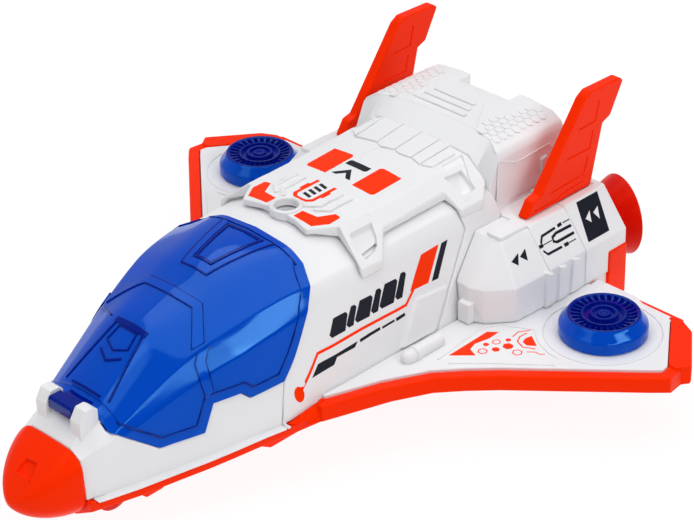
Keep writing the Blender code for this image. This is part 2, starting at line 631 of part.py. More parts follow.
def build_engines():
    """Side pods with their rear covers and bell nozzles."""
    for side, tag in ((-1, "starboard"), (1, "port")):
        pod = prism("pod_" + tag, both(POD_SECTION, side), "Y", POD_FRONT_Y, POD_REAR_Y, WHITE)
        rings = []
        for z, plan in POD_BLOCK:
            rings.append([(side * x, y, up(z)) for x, y in plan])
        join(pod, loft("pod_front", rings, None))
        for front, rear in POD_RIBS:
            outline = [(front, FOOT_Z), (rear, FOOT_Z), (rear, RIB_TOP_Z - 1.6), (front + 1.0, RIB_TOP_Z)]
            join(pod, prism("pod_rib", outline, "X", *sorted((side * 60.0, side * (POD_OUTER_X + RIB_PROUD)))))
        outline = both(inset(POD_SECTION, -COLLAR_PROUD), side)
        collar = prism("pod_collar", outline, "Y", COLLAR_FRONT_Y, POD_REAR_Y)
        keep(collar, box("above_wing", (-REACH, REACH), (BOTTOM, -BOTTOM), (FOOT_Z, TOP)))
        join(pod, collar)
        join(pod, box("pod_post", sorted(side * x for x in POD_POST[0]), *POD_POST[1:]))
        cut(pod, box("fin_seat", sorted((side * (FIN_X - GAP), side * (FIN_X + FIN_THICKNESS + GAP))),
                     (FIN_PROFILE[0][0] - 1.5 * GAP, FIN_PROFILE[1][0] + 1.5), (FIN_FOOT_Z - GAP, TOP)))
        cut(pod, hull_body("pod_root_front", None, offset=-BAND_PROUD - 1.2 * GAP, longer=GAP))
        cut(pod, prism("pod_root_rear", inset(HOUSING_OUTLINE, -1.2 * GAP), "Y", BOTTOM, -BOTTOM))
        cut(pod, box("pod_tray_room", sorted((0.0, side * (CHASSIS_EDGE_X + 2 * GAP))), (BOTTOM, -BOTTOM),
                     (BOTTOM, SILL_Z + 1.0)))
        cut(pod, box("cover_room", sorted((side * 30.0, side * REACH)), (COVER_FRONT_Y, -BOTTOM),
                     (BOTTOM, COVER_TOP_Z)))
        box("engine_cover_" + tag, sorted(side * x for x in COVER_X), (COVER_FRONT_Y + GAP, POD_REAR_Y),
            (COVER_LOW_Z, COVER_TOP_Z - GAP), ORANGE)
        depth = NOZZLE_RIM_Y - POD_REAR_Y - GAP
        rim = NOZZLE_RIM_RADIUS
        bell = [(0.0, WALL), (THROAT_RADIUS - WALL, WALL), (rim - NOZZLE_LIP, depth), (rim, depth),
                (THROAT_RADIUS, 0.0), (0.0, 0.0)]
        turned("nozzle_" + tag, bell, "Y", (side * NOZZLE_X, NOZZLE_RIM_Y - depth, up(NOZZLE_Z)), RED)


def build_rear():
    """White engine housing with its raised rear deck and the band that wraps the fuselage's rear end."""
    housing = prism("rear_housing", HOUSING_OUTLINE, "Y", HOUSING_FRONT_Y - 1.0, DECK_REAR_Y, WHITE)
    keep(housing, prism("housing_plan", HOUSING_PLAN, "Z", BOTTOM, TOP))
    cut(housing, prism("deck_notch", DECK_NOTCH, "X", -DECK_NOTCH_HALF, DECK_NOTCH_HALF))
    band = hull_body("rear_band", None, offset=-BAND_PROUD)
    keep(band, rear_band_region)
    join(housing, band)
    return housing


CHAMFER_FROM = 26.2         # the roof plate's top is crowned out to here, then falls away
CROWN_FALL = 1.5            # how far the crowned part falls on the way out
CHAMFER_SLOPE = 0.82
ROOF_TOP = ((-90.0, 47.33), (-48.0, 48.09), (12.0, 51.39))   # y and height of the plate's crown line


def crown(x, top):
    """Height of the roof plate's top at a distance from its middle, from its crown line's height."""
    fall = CROWN_FALL * (min(x, CHAMFER_FROM) / CHAMFER_FROM) ** 2
    return top - fall - CHAMFER_SLOPE * max(0.0, x - CHAMFER_FROM)


PLATE_EDGE_X = 32.4
PLATE_HALF = (
    # plan view (x, y) of the roof plate, from its front edge past the two lugs to the rear
    (9.0, -82.2), (18.0, -84.4), (24.8, -73.5), (40.6, -76.6), (41.2, -65.4), (PLATE_EDGE_X, -56.0),
    (PLATE_EDGE_X, -21.0), (40.2, -19.2), (40.8, -6.2), (30.0, 7.0), (20.0, 8.6), (9.0, 9.2),
)
LUG_RECESSES = (
    # plan view (x, y) of the shallow hollow in each lug
    ((25.2, -67.0), (26.4, -58.0), (37.6, -65.8), (38.6, -72.0)),
    ((23.6, -13.0), (24.0, -1.6), (36.6, -8.4), (38.6, -14.6)),
)
LUG_RECESS = 1.2
PLATE_LOW_Z = 24.0          # the plate's slab starts this low, then its seat over the fuselage is cut out


def roof_slab(name, mat, low, lift):
    """Slab under the roof's surface, raised by a lift."""
    steps = (44.0, CHAMFER_FROM, 20.0, 14.0, 7.0, 0.0)
    rings = []
    for y, top in ROOF_TOP:
        rings.append(mirror_ring([(0.0, y, up(low)), (steps[0], y, up(low))]
                                 + [(x, y, up(crown(x, top) + lift)) for x in steps]))
    return loft(name, rings, mat)


def build_roof():
    outline = list(PLATE_HALF) + both(list(reversed(PLATE_HALF)), -1)
    plate = roof_slab("roof_plate", WHITE, PLATE_LOW_Z, 0.0)
    keep(plate, prism("plate_outline", outline, "Z", PLATE_LOW_Z - 4.0, TOP))
    for side in (-1, 1):
        for recess in LUG_RECESSES:
            hollow = prism("lug_recess", both(recess, side), "Z", PLATE_LOW_Z - 4.0, TOP)
            cut(hollow, roof_slab("recess_floor", None, PLATE_LOW_Z - 12.0, -LUG_RECESS))
            cut(plate, hollow)
    cut(plate, hull_body("plate_seat", None, offset=-BAND_PROUD - 1.5 * GAP, longer=30.0))
    cut(plate, prism("housing_seat", inset(HOUSING_OUTLINE, -1.5 * GAP), "Y", 0.0, 20.0))
    at = (0.0, SOCKET_Y, up(SOCKET_TOP_Z - 0.5 * SOCKET_LIP_HIGH))
    join(plate, cylinder("socket_ring", SOCKET_RADIUS + SOCKET_LIP, "Z", at, SOCKET_LIP_HIGH))
    cut(plate, cylinder("socket_hole", SOCKET_RADIUS, "Z", (0.0, SOCKET_Y, up(SOCKET_TOP_Z)), 24.0))
    return plate


def build_fins():
    for side, tag in ((-1, "starboard"), (1, "port")):
        faces = sorted((side * FIN_X, side * (FIN_X + FIN_THICKNESS)))
        prism("fin_" + tag, FIN_PROFILE, "X", *faces, ORANGE)


SEAT_FLOOR_Z = SILL_Z + WALL + GAP
SEAT_PROFILE = (
    # side view (y, z), from the front of the foot well round to the front of the cushion
    (-150.0, SEAT_FLOOR_Z + 4.0), (-146.0, SEAT_FLOOR_Z + 2.0), (-122.0, SEAT_FLOOR_Z), (-104.0, SEAT_FLOOR_Z),
    (-108.0, 20.0), (-114.0, 20.0), (-125.0, 2.0), (-150.0, 0.0),
)
SEAT_HALF = 14.0


def build_seat():
    prism("seat", SEAT_PROFILE, "X", -SEAT_HALF, SEAT_HALF, DARK)


build_cockpit()
build_fuselage()
build_canopy()
build_nose()
build_chassis()
build_wheels()
build_wings()
build_discs()
build_engines()
build_rear()
build_roof()
build_fins()
build_seat()
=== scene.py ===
import json
import math

import bmesh
import bpy
from mathutils import Matrix, Vector
from mathutils.bvhtree import BVHTree
from mathutils.geometry import intersect_point_line


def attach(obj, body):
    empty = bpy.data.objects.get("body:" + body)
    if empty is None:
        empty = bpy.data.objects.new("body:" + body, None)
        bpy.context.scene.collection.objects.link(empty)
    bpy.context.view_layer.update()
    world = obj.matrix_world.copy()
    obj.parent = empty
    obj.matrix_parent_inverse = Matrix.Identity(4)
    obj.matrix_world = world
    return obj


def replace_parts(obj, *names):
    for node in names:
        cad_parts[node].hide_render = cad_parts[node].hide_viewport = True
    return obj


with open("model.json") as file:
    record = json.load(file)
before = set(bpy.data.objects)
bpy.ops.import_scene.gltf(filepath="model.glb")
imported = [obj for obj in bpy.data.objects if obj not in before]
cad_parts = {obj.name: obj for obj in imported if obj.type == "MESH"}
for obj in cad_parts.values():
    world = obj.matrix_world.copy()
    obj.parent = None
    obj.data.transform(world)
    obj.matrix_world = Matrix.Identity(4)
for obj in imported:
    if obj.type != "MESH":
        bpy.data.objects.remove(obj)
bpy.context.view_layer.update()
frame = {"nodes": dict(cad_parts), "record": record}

scene = bpy.context.scene

# Camera: it stands in front of the port side and above the toy, as the photographer did.
# Its place and lens were solved from the toy's mirrored points; the shift only frames the picture.
CAMERA_AT = (0.6012, -0.55225, 0.5456)
CAMERA_HEADING, CAMERA_PITCH, CAMERA_ROLL = 43.1207, 58.3023, -0.1458
camera_data = bpy.data.cameras.new("camera")
camera_data.sensor_width = 36.0
camera_data.lens = 123.19
camera_data.shift_x = -0.1313
camera_data.shift_y = 0.0570
camera = bpy.data.objects.new("camera", camera_data)
camera.matrix_world = (Matrix.Translation(CAMERA_AT)
                       @ Matrix.Rotation(math.radians(CAMERA_HEADING), 4, "Z")
                       @ Matrix.Rotation(math.radians(CAMERA_PITCH), 4, "X")
                       @ Matrix.Rotation(math.radians(CAMERA_ROLL), 4, "Z"))
scene.collection.objects.link(camera)
scene.camera = camera

# Studio: the toy stands on a wide sheet of pale card that glows a little, in a dim white room.
# A wide soft ceiling hangs over it, a soft box hangs before its nose, and two long low boxes on the
# port side draw the canopy's bright edge.
CARD_REACH = 8.0
CARD_FINISH = {"Base Color": (0.1, 0.1, 0.1, 1.0), "Roughness": 0.9, "Specular IOR Level": 0.0,
               "Emission Color": (1.0, 1.0, 1.0, 1.0), "Emission Strength": 0.92}
ROOM_COLOUR = (0.97, 0.98, 1.0, 1.0)
ROOM_LIGHT = (0.50, 0.04)   # on the starboard side and on the port side
LIGHTS_AIM = Vector((0.0, 0.0, 0.04))
SOFT_BOXES = (   # name, place, width, height, power
    ("top_box", (-0.2, 0.5, 4.0), 5.0, 5.0, 127.0),
    ("edge_box", (2.495, 0.305, 1.73), 2.1, 0.45, 24.5),
    ("front_box", (2.48, -0.98, 1.50), 1.3, 0.55, 10.5),
    ("fill_box", (-0.45, -2.53, 3.06), 2.0, 2.0, 19.0))
scene.view_settings.view_transform = "Standard"
room = bpy.data.worlds.new("room")
room.use_nodes = True
room_nodes, room_links = room.node_tree.nodes, room.node_tree.links
backdrop = room_nodes["Background"]
backdrop.inputs["Color"].default_value = ROOM_COLOUR
heading = room_nodes.new("ShaderNodeTexCoord")
split = room_nodes.new("ShaderNodeSeparateXYZ")
fade = room_nodes.new("ShaderNodeMapRange")
fade.inputs["From Min"].default_value = -1.0
fade.inputs["To Min"].default_value, fade.inputs["To Max"].default_value = ROOM_LIGHT
room_links.new(heading.outputs["Generated"], split.inputs["Vector"])
room_links.new(split.outputs["X"], fade.inputs["Value"])
room_links.new(fade.outputs["Result"], backdrop.inputs["Strength"])
scene.world = room
for name, at, width, height, power in SOFT_BOXES:
    box_light = bpy.data.lights.new(name, "AREA")
    box_light.shape = "RECTANGLE"
    box_light.size, box_light.size_y, box_light.energy = width, height, power
    soft_box = bpy.data.objects.new(name, box_light)
    soft_box.location = at
    soft_box.rotation_euler = (LIGHTS_AIM - Vector(at)).to_track_quat("-Z", "Y").to_euler()
    scene.collection.objects.link(soft_box)
card_corners = [(CARD_REACH * x, CARD_REACH * y, 0.0) for x, y in ((-1, -1), (1, -1), (1, 1), (-1, 1))]
card_mesh = bpy.data.meshes.new("pale_card")
card_mesh.from_pydata(card_corners, [], [(0, 1, 2, 3)])
card = bpy.data.objects.new("pale_card", card_mesh)
scene.collection.objects.link(card)
card_finish = bpy.data.materials.new("pale_card")
card_finish.use_nodes = True
card_skin = card_finish.node_tree.nodes["Principled BSDF"]
for socket, value in CARD_FINISH.items():
    card_skin.inputs[socket].default_value = value
card_mesh.materials.append(card_finish)

# Cockpit shell: the white tub under the canopy, with the two ears that hold the canopy's pin.
# It is one moulding in glossy white plastic, every edge slightly rounded, set against the fuselage.
MM = 0.001               # sizes from here on are in mm, and the frame is in metres
PIGMENT_PATCHES = 38.0   # to a metre
SKIN_RIPPLE = 0.9        # mm from one ripple to the next
FLAT = 0.6               # degrees, faces that meet at less are taken as one
RUNS_ON = 0.35           # sine of the angle under which two hard edges run on as one


def paint(red, green, blue):
    """A colour as it is named on a screen, 0 to 255, turned into light."""
    def light(c):
        c /= 255.0
        return c / 12.92 if c <= 0.04045 else ((c + 0.055) / 1.055) ** 2.4
    return light(red), light(green), light(blue), 1.0


def plastic(name, colour, rough, vary=0.03, grain=0.05, gloss=0.5, clear=0.0, sheen=(1.0, 1.0, 1.0)):
    """Moulded plastic: its pigment drifts a little over the piece, and its skin has a fine ripple."""
    finish = bpy.data.materials.new(name)
    finish.use_nodes = True
    tree = finish.node_tree
    skin = tree.nodes["Principled BSDF"]
    where = tree.nodes.new("ShaderNodeTexCoord")
    drift = tree.nodes.new("ShaderNodeTexNoise")
    drift.inputs["Scale"].default_value = PIGMENT_PATCHES
    drift.inputs["Detail"].default_value = 3.0
    tree.links.new(where.outputs["Object"], drift.inputs["Vector"])
    shade = tree.nodes.new("ShaderNodeMix")
    shade.name = "pigment"
    shade.data_type = "RGBA"
    shade.inputs["A"].default_value = [c * (1.0 - vary) for c in colour[:3]] + [1.0]
    shade.inputs["B"].default_value = [min(1.0, c * (1.0 + vary)) for c in colour[:3]] + [1.0]
    tree.links.new(drift.outputs["Fac"], shade.inputs["Factor"])
    tree.links.new(shade.outputs["Result"], skin.inputs["Base Color"])
    smear = tree.nodes.new("ShaderNodeMapRange")
    smear.inputs["To Min"].default_value = rough * 0.85
    smear.inputs["To Max"].default_value = rough * 1.2
    tree.links.new(drift.outputs["Fac"], smear.inputs["Value"])
    tree.links.new(smear.outputs["Result"], skin.inputs["Roughness"])
    ripple = tree.nodes.new("ShaderNodeTexNoise")
    ripple.inputs["Scale"].default_value = 1.0 / (SKIN_RIPPLE * MM)
    ripple.inputs["Detail"].default_value = 2.0
    tree.links.new(where.outputs["Object"], ripple.inputs["Vector"])
    relief = tree.nodes.new("ShaderNodeBump")
    relief.inputs["Strength"].default_value = grain
    relief.inputs["Distance"].default_value = 0.1 * MM
    tree.links.new(ripple.outputs["Fac"], relief.inputs["Height"])
    tree.links.new(relief.outputs["Normal"], skin.inputs["Normal"])
    skin.inputs["Specular IOR Level"].default_value = gloss
    skin.inputs["Specular Tint"].default_value = (*sheen, 1.0)
    skin.inputs["Transmission Weight"].default_value = clear
    return finish


def new_piece(name, bm, finish, body):
    """Makes an object of a finished mesh and says what it rides on and which finish it takes."""
    mesh = bpy.data.meshes.new(name)
    bm.to_mesh(mesh)
    bm.free()
    mesh.materials.append(finish)
    piece = bpy.data.objects.new(name, mesh)
    scene.collection.objects.link(piece)
    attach(piece, body)
    return piece


def room_beside(edge, hard, ends, room):
    """How far a hard edge can be rounded, up to some room, before it meets the edges beside it."""
    for corner in edge.verts:
        along = (edge.other_vert(corner).co - corner.co).normalized()
        for other in corner.link_edges:
            reach = other.other_vert(corner).co - corner.co
            if other is edge or reach.length < 1e-7:
                continue
            turn = along.cross(reach.normalized()).length
            if turn < RUNS_ON and other in hard:
                continue
            share = 0.45 if other.other_vert(corner) in ends else 0.9
            room = min(room, reach.length * share * max(turn, 0.2))
    a, b = (corner.co for corner in edge.verts)
    for other in {e for face in edge.link_faces for e in face.edges if e in hard}:
        if not set(other.verts) & set(edge.verts):
            c, d = (corner.co for corner in other.verts)
            for t in (0.1, 0.5, 0.9):
                at = a.lerp(b, t)
                place = intersect_point_line(at, c, d)[1]
                near = c.lerp(d, min(1.0, max(0.0, place)))
                room = min(room, 0.45 * (at - near).length)
    return room


def rounded(piece, width, sharp=26.0, steps=2):
    """Rounds sharp edges by up to width (mm), less where there is little room, and smooths the faces."""
    mesh = piece.data
    bm = bmesh.new()
    bm.from_mesh(mesh)
    edge_values = bm.edges.layers.float
    weight = edge_values.get("bevel_weight_edge") or edge_values.new("bevel_weight_edge")
    least = math.radians(sharp)
    hard = {e for e in bm.edges if len(e.link_faces) == 2 and e.calc_face_angle(0.0) > least}
    ends = {corner for edge in hard for corner in edge.verts}
    for edge in hard:
        edge[weight] = max(0.02, room_beside(edge, hard, ends, width * MM) / (width * MM))
    for face in bm.faces:
        face.smooth = True
    bm.to_mesh(mesh)
    bm.free()
    bevel = piece.modifiers.new("rounded", "BEVEL")
    bevel.limit_method = "WEIGHT"
    bevel.width = width * MM
    bevel.segments = steps
    bevel.use_clamp_overlap = False
    evened = piece.modifiers.new("evened", "WEIGHTED_NORMAL")
    evened.keep_sharp = True
    evened.weight = 60
    return piece


def moulding(node, finish, width, steps=2, weld=0.12, cutters=(), blocks=()):
    """A copy of one of the frame's solids as it leaves the mould, with its edges rounded.

    Blocks are added to it first, and cutters are then cut out of it.
    """
    body = next(b for b, nodes in frame["record"]["behaviour"]["bodies"].items() if node in nodes)
    bm = bmesh.new()
    bm.from_mesh(frame["nodes"][node].data)
    bmesh.ops.remove_doubles(bm, verts=bm.verts[:], dist=weld * MM)
    bmesh.ops.dissolve_limit(bm, angle_limit=math.radians(FLAT), verts=bm.verts[:], edges=bm.edges[:])
    for edge in bm.edges:
        edge.smooth = True
    piece = new_piece(node + "_moulded", bm, finish, body)
    for block in blocks:
        carve(piece, block, "UNION")
    for cutter in cutters:
        carve(piece, cutter)
    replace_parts(piece, node)
    return rounded(piece, width, steps=steps)


def carve(piece, cutter, operation="DIFFERENCE"):
    """Cuts a closed mesh out of a piece, or keeps or adds it, and throws the cutter away."""
    mesh = bpy.data.meshes.new("tool")
    cutter.to_mesh(mesh)
    cutter.free()
    tool = bpy.data.objects.new("tool", mesh)
    scene.collection.objects.link(tool)
    cut = piece.modifiers.new("cut", "BOOLEAN")
    cut.operation, cut.solver, cut.object = operation, "EXACT", tool
    bpy.context.view_layer.update()
    graph = bpy.context.evaluated_depsgraph_get()
    carved = bpy.data.meshes.new_from_object(piece.evaluated_get(graph))
    piece.modifiers.clear()
    piece.data = carved
    bpy.data.objects.remove(tool)


WHITE = plastic("white_plastic", paint(232, 232, 234), 0.32, vary=0.012, gloss=0.4)
moulding("cockpit_hull", WHITE, 0.5)

# Fuselage: the white upper shell behind the cockpit, moulded in the same white plastic.
# Its sides are printed in orange and black: a thin stripe with a round end, slanted blocks and dashes.
SIDES = {"port": 1, "starboard": -1}
VIEWS = {   # an outline's two axes, the axis that it is seen along, and from which end
    "top": (0, 1, 2, 1), "port": (1, 2, 0, 1), "starboard": (1, 2, 0, -1), "front": (0, 2, 1, -1)}
FAR_OUT = 0.4                      # metres, farther out than any piece reaches
CLOSE = 0.01                       # mm, points that lie closer are one
INK_SUNK, RELIEF_SUNK = 0.12, 0.3  # mm that ink and relief reach into the moulding


def ground(piece):
    """The surface of a piece, for laying thin layers on. The frame's own solids are hidden."""
    graph = bpy.context.evaluated_depsgraph_get()
    mesh = piece.data if piece.hide_viewport else piece.evaluated_get(graph).to_mesh()
    points = [v.co.copy() for v in mesh.vertices]
    return BVHTree.FromPolygons(points, [list(polygon.vertices) for polygon in mesh.polygons])


def layer(outlines, surface, view, up, sunk, cell=3.0):
    """A thin closed sheet that follows a surface, standing up from it and sunk into it (mm).

    Its outlines are in mm as seen from one side. It is cut at every cell (mm), to follow a curve.
    """
    across, along, depth, sense = VIEWS[view]
    flat = bmesh.new()
    for outline in outlines:
        corners = []
        for a, b in outline:
            at = [0.0, 0.0, 0.0]
            at[across], at[along] = a * MM, b * MM
            corners.append(flat.verts.new(at))
        flat.faces.new(corners)
    bmesh.ops.remove_doubles(flat, verts=flat.verts[:], dist=CLOSE * MM)
    bmesh.ops.triangulate(flat, faces=flat.faces[:])
    for axis in (across, along):
        normal = [0.0, 0.0, 0.0]
        normal[axis] = 1.0
        low, high = (end(p.co[axis] for p in flat.verts) / (cell * MM) for end in (min, max))
        for step in range(math.ceil(low), math.floor(high) + 1):
            point = [0.0, 0.0, 0.0]
            point[axis] = step * cell * MM
            bmesh.ops.bisect_plane(flat, geom=flat.verts[:] + flat.edges[:] + flat.faces[:], dist=1e-6,
                                   plane_co=point, plane_no=normal)
    bmesh.ops.remove_doubles(flat, verts=flat.verts[:], dist=CLOSE * MM)
    inward = [0.0, 0.0, 0.0]
    inward[depth] = -sense
    tops, feet, last = {}, {}, None
    solid = bmesh.new()
    for point in sorted(flat.verts, key=lambda p: tuple(p.co)):
        start = point.co.copy()
        start[depth] = sense * FAR_OUT
        found, normal = surface.ray_cast(start, Vector(inward))[:2]
        if found is None:
            found, normal = surface.find_nearest(last or start)[:2]
            found = Vector(found)
            found[across], found[along] = point.co[across], point.co[along]
        last = found
        if normal[depth] * sense < 0.0:
            normal = -normal
        tops[point] = solid.verts.new(found + normal * up * MM)
        feet[point] = solid.verts.new(found - normal * sunk * MM)
    flat.normal_update()
    for face in flat.faces:
        loop = list(face.verts) if face.normal[depth] * sense > 0.0 else list(face.verts)[::-1]
        solid.faces.new([tops[p] for p in loop])
        solid.faces.new([feet[p] for p in loop[::-1]])
        for a, b in zip(loop, loop[1:] + loop[:1]):
            if flat.edges.get((a, b)).is_boundary:
                solid.faces.new([feet[a], feet[b], tops[b], tops[a]])
    flat.free()
    return solid


def strip(points, width, closed=False):
    """The outline of a line of a certain width, as one four-sided piece for each stretch."""
    points = [Vector(p) for p in points]
    count = len(points)
    edges = []
    for i, at in enumerate(points):
        before = points[i - 1] if i or closed else None
        after = points[(i + 1) % count] if i < count - 1 or closed else None
        pairs = ((before, at), (at, after))
        runs = [(b - a).normalized() for a, b in pairs if a is not None and b is not None]
        along = sum(runs, Vector((0.0, 0.0))).normalized()
        aside = Vector((-along.y, along.x))
        widen = 0.5 * width / max(0.35, aside.dot(Vector((-runs[0].y, runs[0].x))))
        edges.append((at + aside * widen, at - aside * widen))
    stretches = zip(edges, edges[1:] + edges[:1]) if closed else zip(edges, edges[1:])
    return [[a[0], a[1], b[1], b[0]] for a, b in stretches]


def circle(x, y, radius, sides, squash=1.0):
    """A round or many-sided outline."""
    turns = [2 * math.pi * i / sides for i in range(sides)]
    return [(x + radius * math.cos(turn), y + squash * radius * math.sin(turn)) for turn in turns]


def mirrored(outlines):
    """The same outlines on both sides of the toy's middle."""
    return list(outlines) + [[(-x, y) for x, y in outline] for outline in outlines]


def printed(name, outlines, surface, view, finish, up=0.06, cell=3.0):
    """Ink printed on a white moulding: a film that lies on the surface."""
    film = layer(outlines, surface, view, up, INK_SUNK, cell)
    new_piece(name, film, finish, "hull")


def raised(name, outlines, surface, view, finish, up, edge, body="hull", cell=3.0):
    """Relief that stands out of a moulding, with a softened rim."""
    piece = new_piece(name, layer(outlines, surface, view, up, RELIEF_SUNK, cell), finish, body)
    rounded(piece, edge, sharp=40.0)


INK = plastic("black_ink", paint(20, 23, 36), 0.42, vary=0.08, grain=0.03, gloss=0.2)
ORANGE_INK = plastic("orange_ink", paint(255, 52, 2), 0.4, vary=0.03, grain=0.03, gloss=0.15,
                     sheen=(1.0, 0.3, 0.08))
SIDE_BLOCKS = (   # slanted black blocks with a cut corner: place of the front foot, width
    (-17.8, 8.2), (-8.4, 3.4), (-3.8, 7.4), (4.8, 3.4), (9.4, 7.4), (18.0, 3.6))
BLOCKS_START_Y = -18.0
BLOCK_FOOT_Z, BLOCK_FOOT_RISE = 51.6, 0.04   # height where the blocks start, and how it rises along them
BLOCK_HEAD_Z, BLOCK_HEAD_RISE = 58.4, 0.11
BLOCK_LEAN = 0.55
SIDE_ORANGE = [
    *strip([(-37.0, 37.4), (-25.2, 48.6), (-1.0, 49.0), (22.7, 49.3), (28.2, 53.6)], 1.15),
    circle(-37.4, 36.6, 2.0, 20, squash=1.6),
    [(26.2, 53.5), (36.7, 53.0), (45.6, 65.9), (35.5, 65.4)]]
SIDE_BLACK = [
    [(38.6, 52.8), (42.2, 52.6), (50.8, 65.9), (47.2, 65.8)],
    [(-30.6, 40.9), (-19.0, 41.5), (-16.7, 43.8), (-6.9, 43.7), (-4.9, 45.4), (-26.2, 44.8)],
    *strip([(-3.7, 45.0), (7.5, 45.6)], 1.2), *strip([(8.6, 45.4), (15.4, 45.8)], 0.9),
    *strip([(16.2, 45.7), (21.2, 46.1)], 1.3)]
for start, width in SIDE_BLOCKS:
    foot = BLOCK_FOOT_Z + BLOCK_FOOT_RISE * (start - BLOCKS_START_Y)
    head = BLOCK_HEAD_Z + BLOCK_HEAD_RISE * (start - BLOCKS_START_Y)
    lean = BLOCK_LEAN * (head - foot)
    SIDE_BLACK.append([(start, foot + 1.4), (start + 0.9, foot), (start + width, foot),
                       (start + width + lean - 0.8, head - 1.2), (start + width + lean - 1.6, head),
                       (start + lean, head)])
fuselage = moulding("fuselage_shell", WHITE, 0.6, weld=0.5)
fuselage_skin = ground(fuselage)
for side in SIDES:
    printed("side_stripe_" + side, SIDE_ORANGE, fuselage_skin, side, ORANGE_INK)
    printed("side_blocks_" + side, SIDE_BLACK, fuselage_skin, side, INK)

# Roof plate: a separate white plate clipped onto the fuselage's roof, with a socket for a peg.
# Ribs and stepped louvres are moulded on it, and its marks are printed in orange and black.
ROOF_RIBS = mirrored(strip([(5.6, 6.4), (10.6, 11.0), (10.3, 14.0), (10.7, 23.2)], 1.7)
                     + strip([(10.4, 7.0), (15.4, 11.2), (15.1, 14.4), (15.3, 23.4)], 1.7))
LOUVRES = [
    [(-23.4, 63.4), (-18.7, 59.8), (-20.9, 79.0), (-23.4, 76.6)],
    [(-18.1, 59.8), (-14.9, 60.6), (-8.0, 61.8), (-9.7, 79.0), (-20.3, 79.0)],
    [(-7.3, 61.6), (-4.4, 59.8), (2.0, 61.5), (0.9, 79.0), (-9.1, 79.0)],
    [(2.7, 61.4), (5.6, 60.5), (11.3, 61.4), (10.6, 79.0), (1.6, 79.0)],
    [(12.0, 61.4), (17.4, 60.2), (16.8, 79.0), (11.3, 79.0)],
    [(18.1, 60.4), (22.4, 62.4), (22.6, 75.9), (17.5, 79.0)]]
ROOF_ORANGE = [
    *mirrored([[(7.6, -1.1), (17.9, -1.5), (21.7, 4.7), (21.5, 10.6), (20.8, 11.3), (18.4, 11.4), (14.9, 4.8),
                (7.6, 3.9)],
               [(7.6, 31.3), (17.8, 31.3), (19.0, 32.4), (19.0, 48.2), (8.8, 48.5), (7.6, 47.4)],
               [(0.0, 9.3), (0.0, 10.6), (2.6, 10.8), (4.0, 12.6), (4.0, 25.0), (5.6, 25.2), (5.6, 21.2),
                (6.6, 20.6), (6.6, 16.2), (5.6, 15.6), (5.6, 11.6), (3.6, 9.5)]])]
ROOF_BLACK = [
    *[[(-2.2, y), (2.2, y - 0.9), (2.2, y + 0.7), (-2.2, y + 1.6)] for y in (13.4, 16.4, 19.4, 22.4)],
    [(-6.4, 41.6), (4.2, 41.6), (5.0, 42.4), (5.0, 45.2), (-5.6, 45.2), (-6.4, 44.4)],
    [(-6.0, 33.2), (-3.4, 33.2), (-0.7, 36.4), (2.0, 33.2), (4.6, 33.2), (-0.7, 39.6)]]
SOCKET_Y, PLATE_AT_SOCKET_Z = 2.25, 85.6
SOCKET_RING = (   # radius and height of the ring round the socket, from its inner foot over the top
    (5.0, 83.0), (5.0, 85.9), (5.3, 86.3), (5.9, 86.5), (6.4, 86.3), (6.8, 85.8), (6.8, 83.0))


def skinned(bm, rows, steps, sharp):
    """Closes rows of points round an axis with faces. Edges sharper than an angle stay hard."""
    for one, two in zip(rows, rows[1:]):
        for step in range(steps):
            after = (step + 1) % steps
            corners = [one[step % len(one)], one[after % len(one)]]
            corners += [two[after % len(two)], two[step % len(two)]]
            corners = [c for i, c in enumerate(corners) if c not in corners[:i]]
            if len(corners) > 2:
                bm.faces.new(corners)
    bmesh.ops.recalc_face_normals(bm, faces=bm.faces[:])
    for face in bm.faces:
        face.smooth = True
    for edge in bm.edges:
        edge.smooth = edge.calc_face_angle(0.0) < math.radians(sharp)
    return bm


def turned(profile, centre, axis, steps=72):
    """A body turned about an axis through a point. Its profile is (radius, distance along the axis) in mm."""
    bm = bmesh.new()
    along = "XYZ".index(axis)
    across, up = (along + 1) % 3, (along + 2) % 3
    rows = []
    for radius, distance in profile:
        row = []
        for step in range(steps if radius > 0.0 else 1):
            at = list(centre)
            at[across] += radius * math.cos(2 * math.pi * step / steps)
            at[up] += radius * math.sin(2 * math.pi * step / steps)
            at[along] += distance
            row.append(bm.verts.new([c * MM for c in at]))
        rows.append(row)
    return skinned(bm, rows, steps, 38.0)


def lofted(rings):
    """A closed skin through rings that have the same number of points (mm)."""
    bm = bmesh.new()
    rows = [[bm.verts.new([c * MM for c in point]) for point in ring] for ring in rings]
    for one, two in zip(rows, rows[1:]):
        for i in range(len(one)):
            j = (i + 1) % len(one)
            bm.faces.new([one[i], one[j], two[j], two[i]])
    bm.faces.new(rows[0][::-1])
    bm.faces.new(rows[-1])
    bmesh.ops.recalc_face_normals(bm, faces=bm.faces[:])
    for face in bm.faces:
        face.smooth = True
    return bm


LUG_HOLLOW = (   # x, front and back y of the hollow in each front lug
    (29.2, 8.0, 20.2), (33.9, 7.8, 18.3), (36.4, 7.6, 16.1), (37.5, 7.5, 9.5))
LUG_FILLED = (   # and of the part of the solid's hollow that is filled up
    (24.4, 11.5, 22.4), (26.2, 11.0, 22.2), (29.6, 9.6, 20.6))
LUG_INNER_SKIN = (24.4, 84.45, -0.1)    # x, height and slope of the front lugs' outer skin
LUG_OUTER_SKIN = (26.3, 84.16, -0.82)   # and of the same skin beyond its fold
REAR_LUG_HOLLOW = [(28.7, 63.0), (28.6, 73.2), (36.7, 73.1), (35.6, 66.0)]


def lug_top(x):
    """The height of the front lugs' outer skin."""
    start, height, slope = LUG_INNER_SKIN if x < LUG_OUTER_SKIN[0] else LUG_OUTER_SKIN
    return height + slope * (x - start)


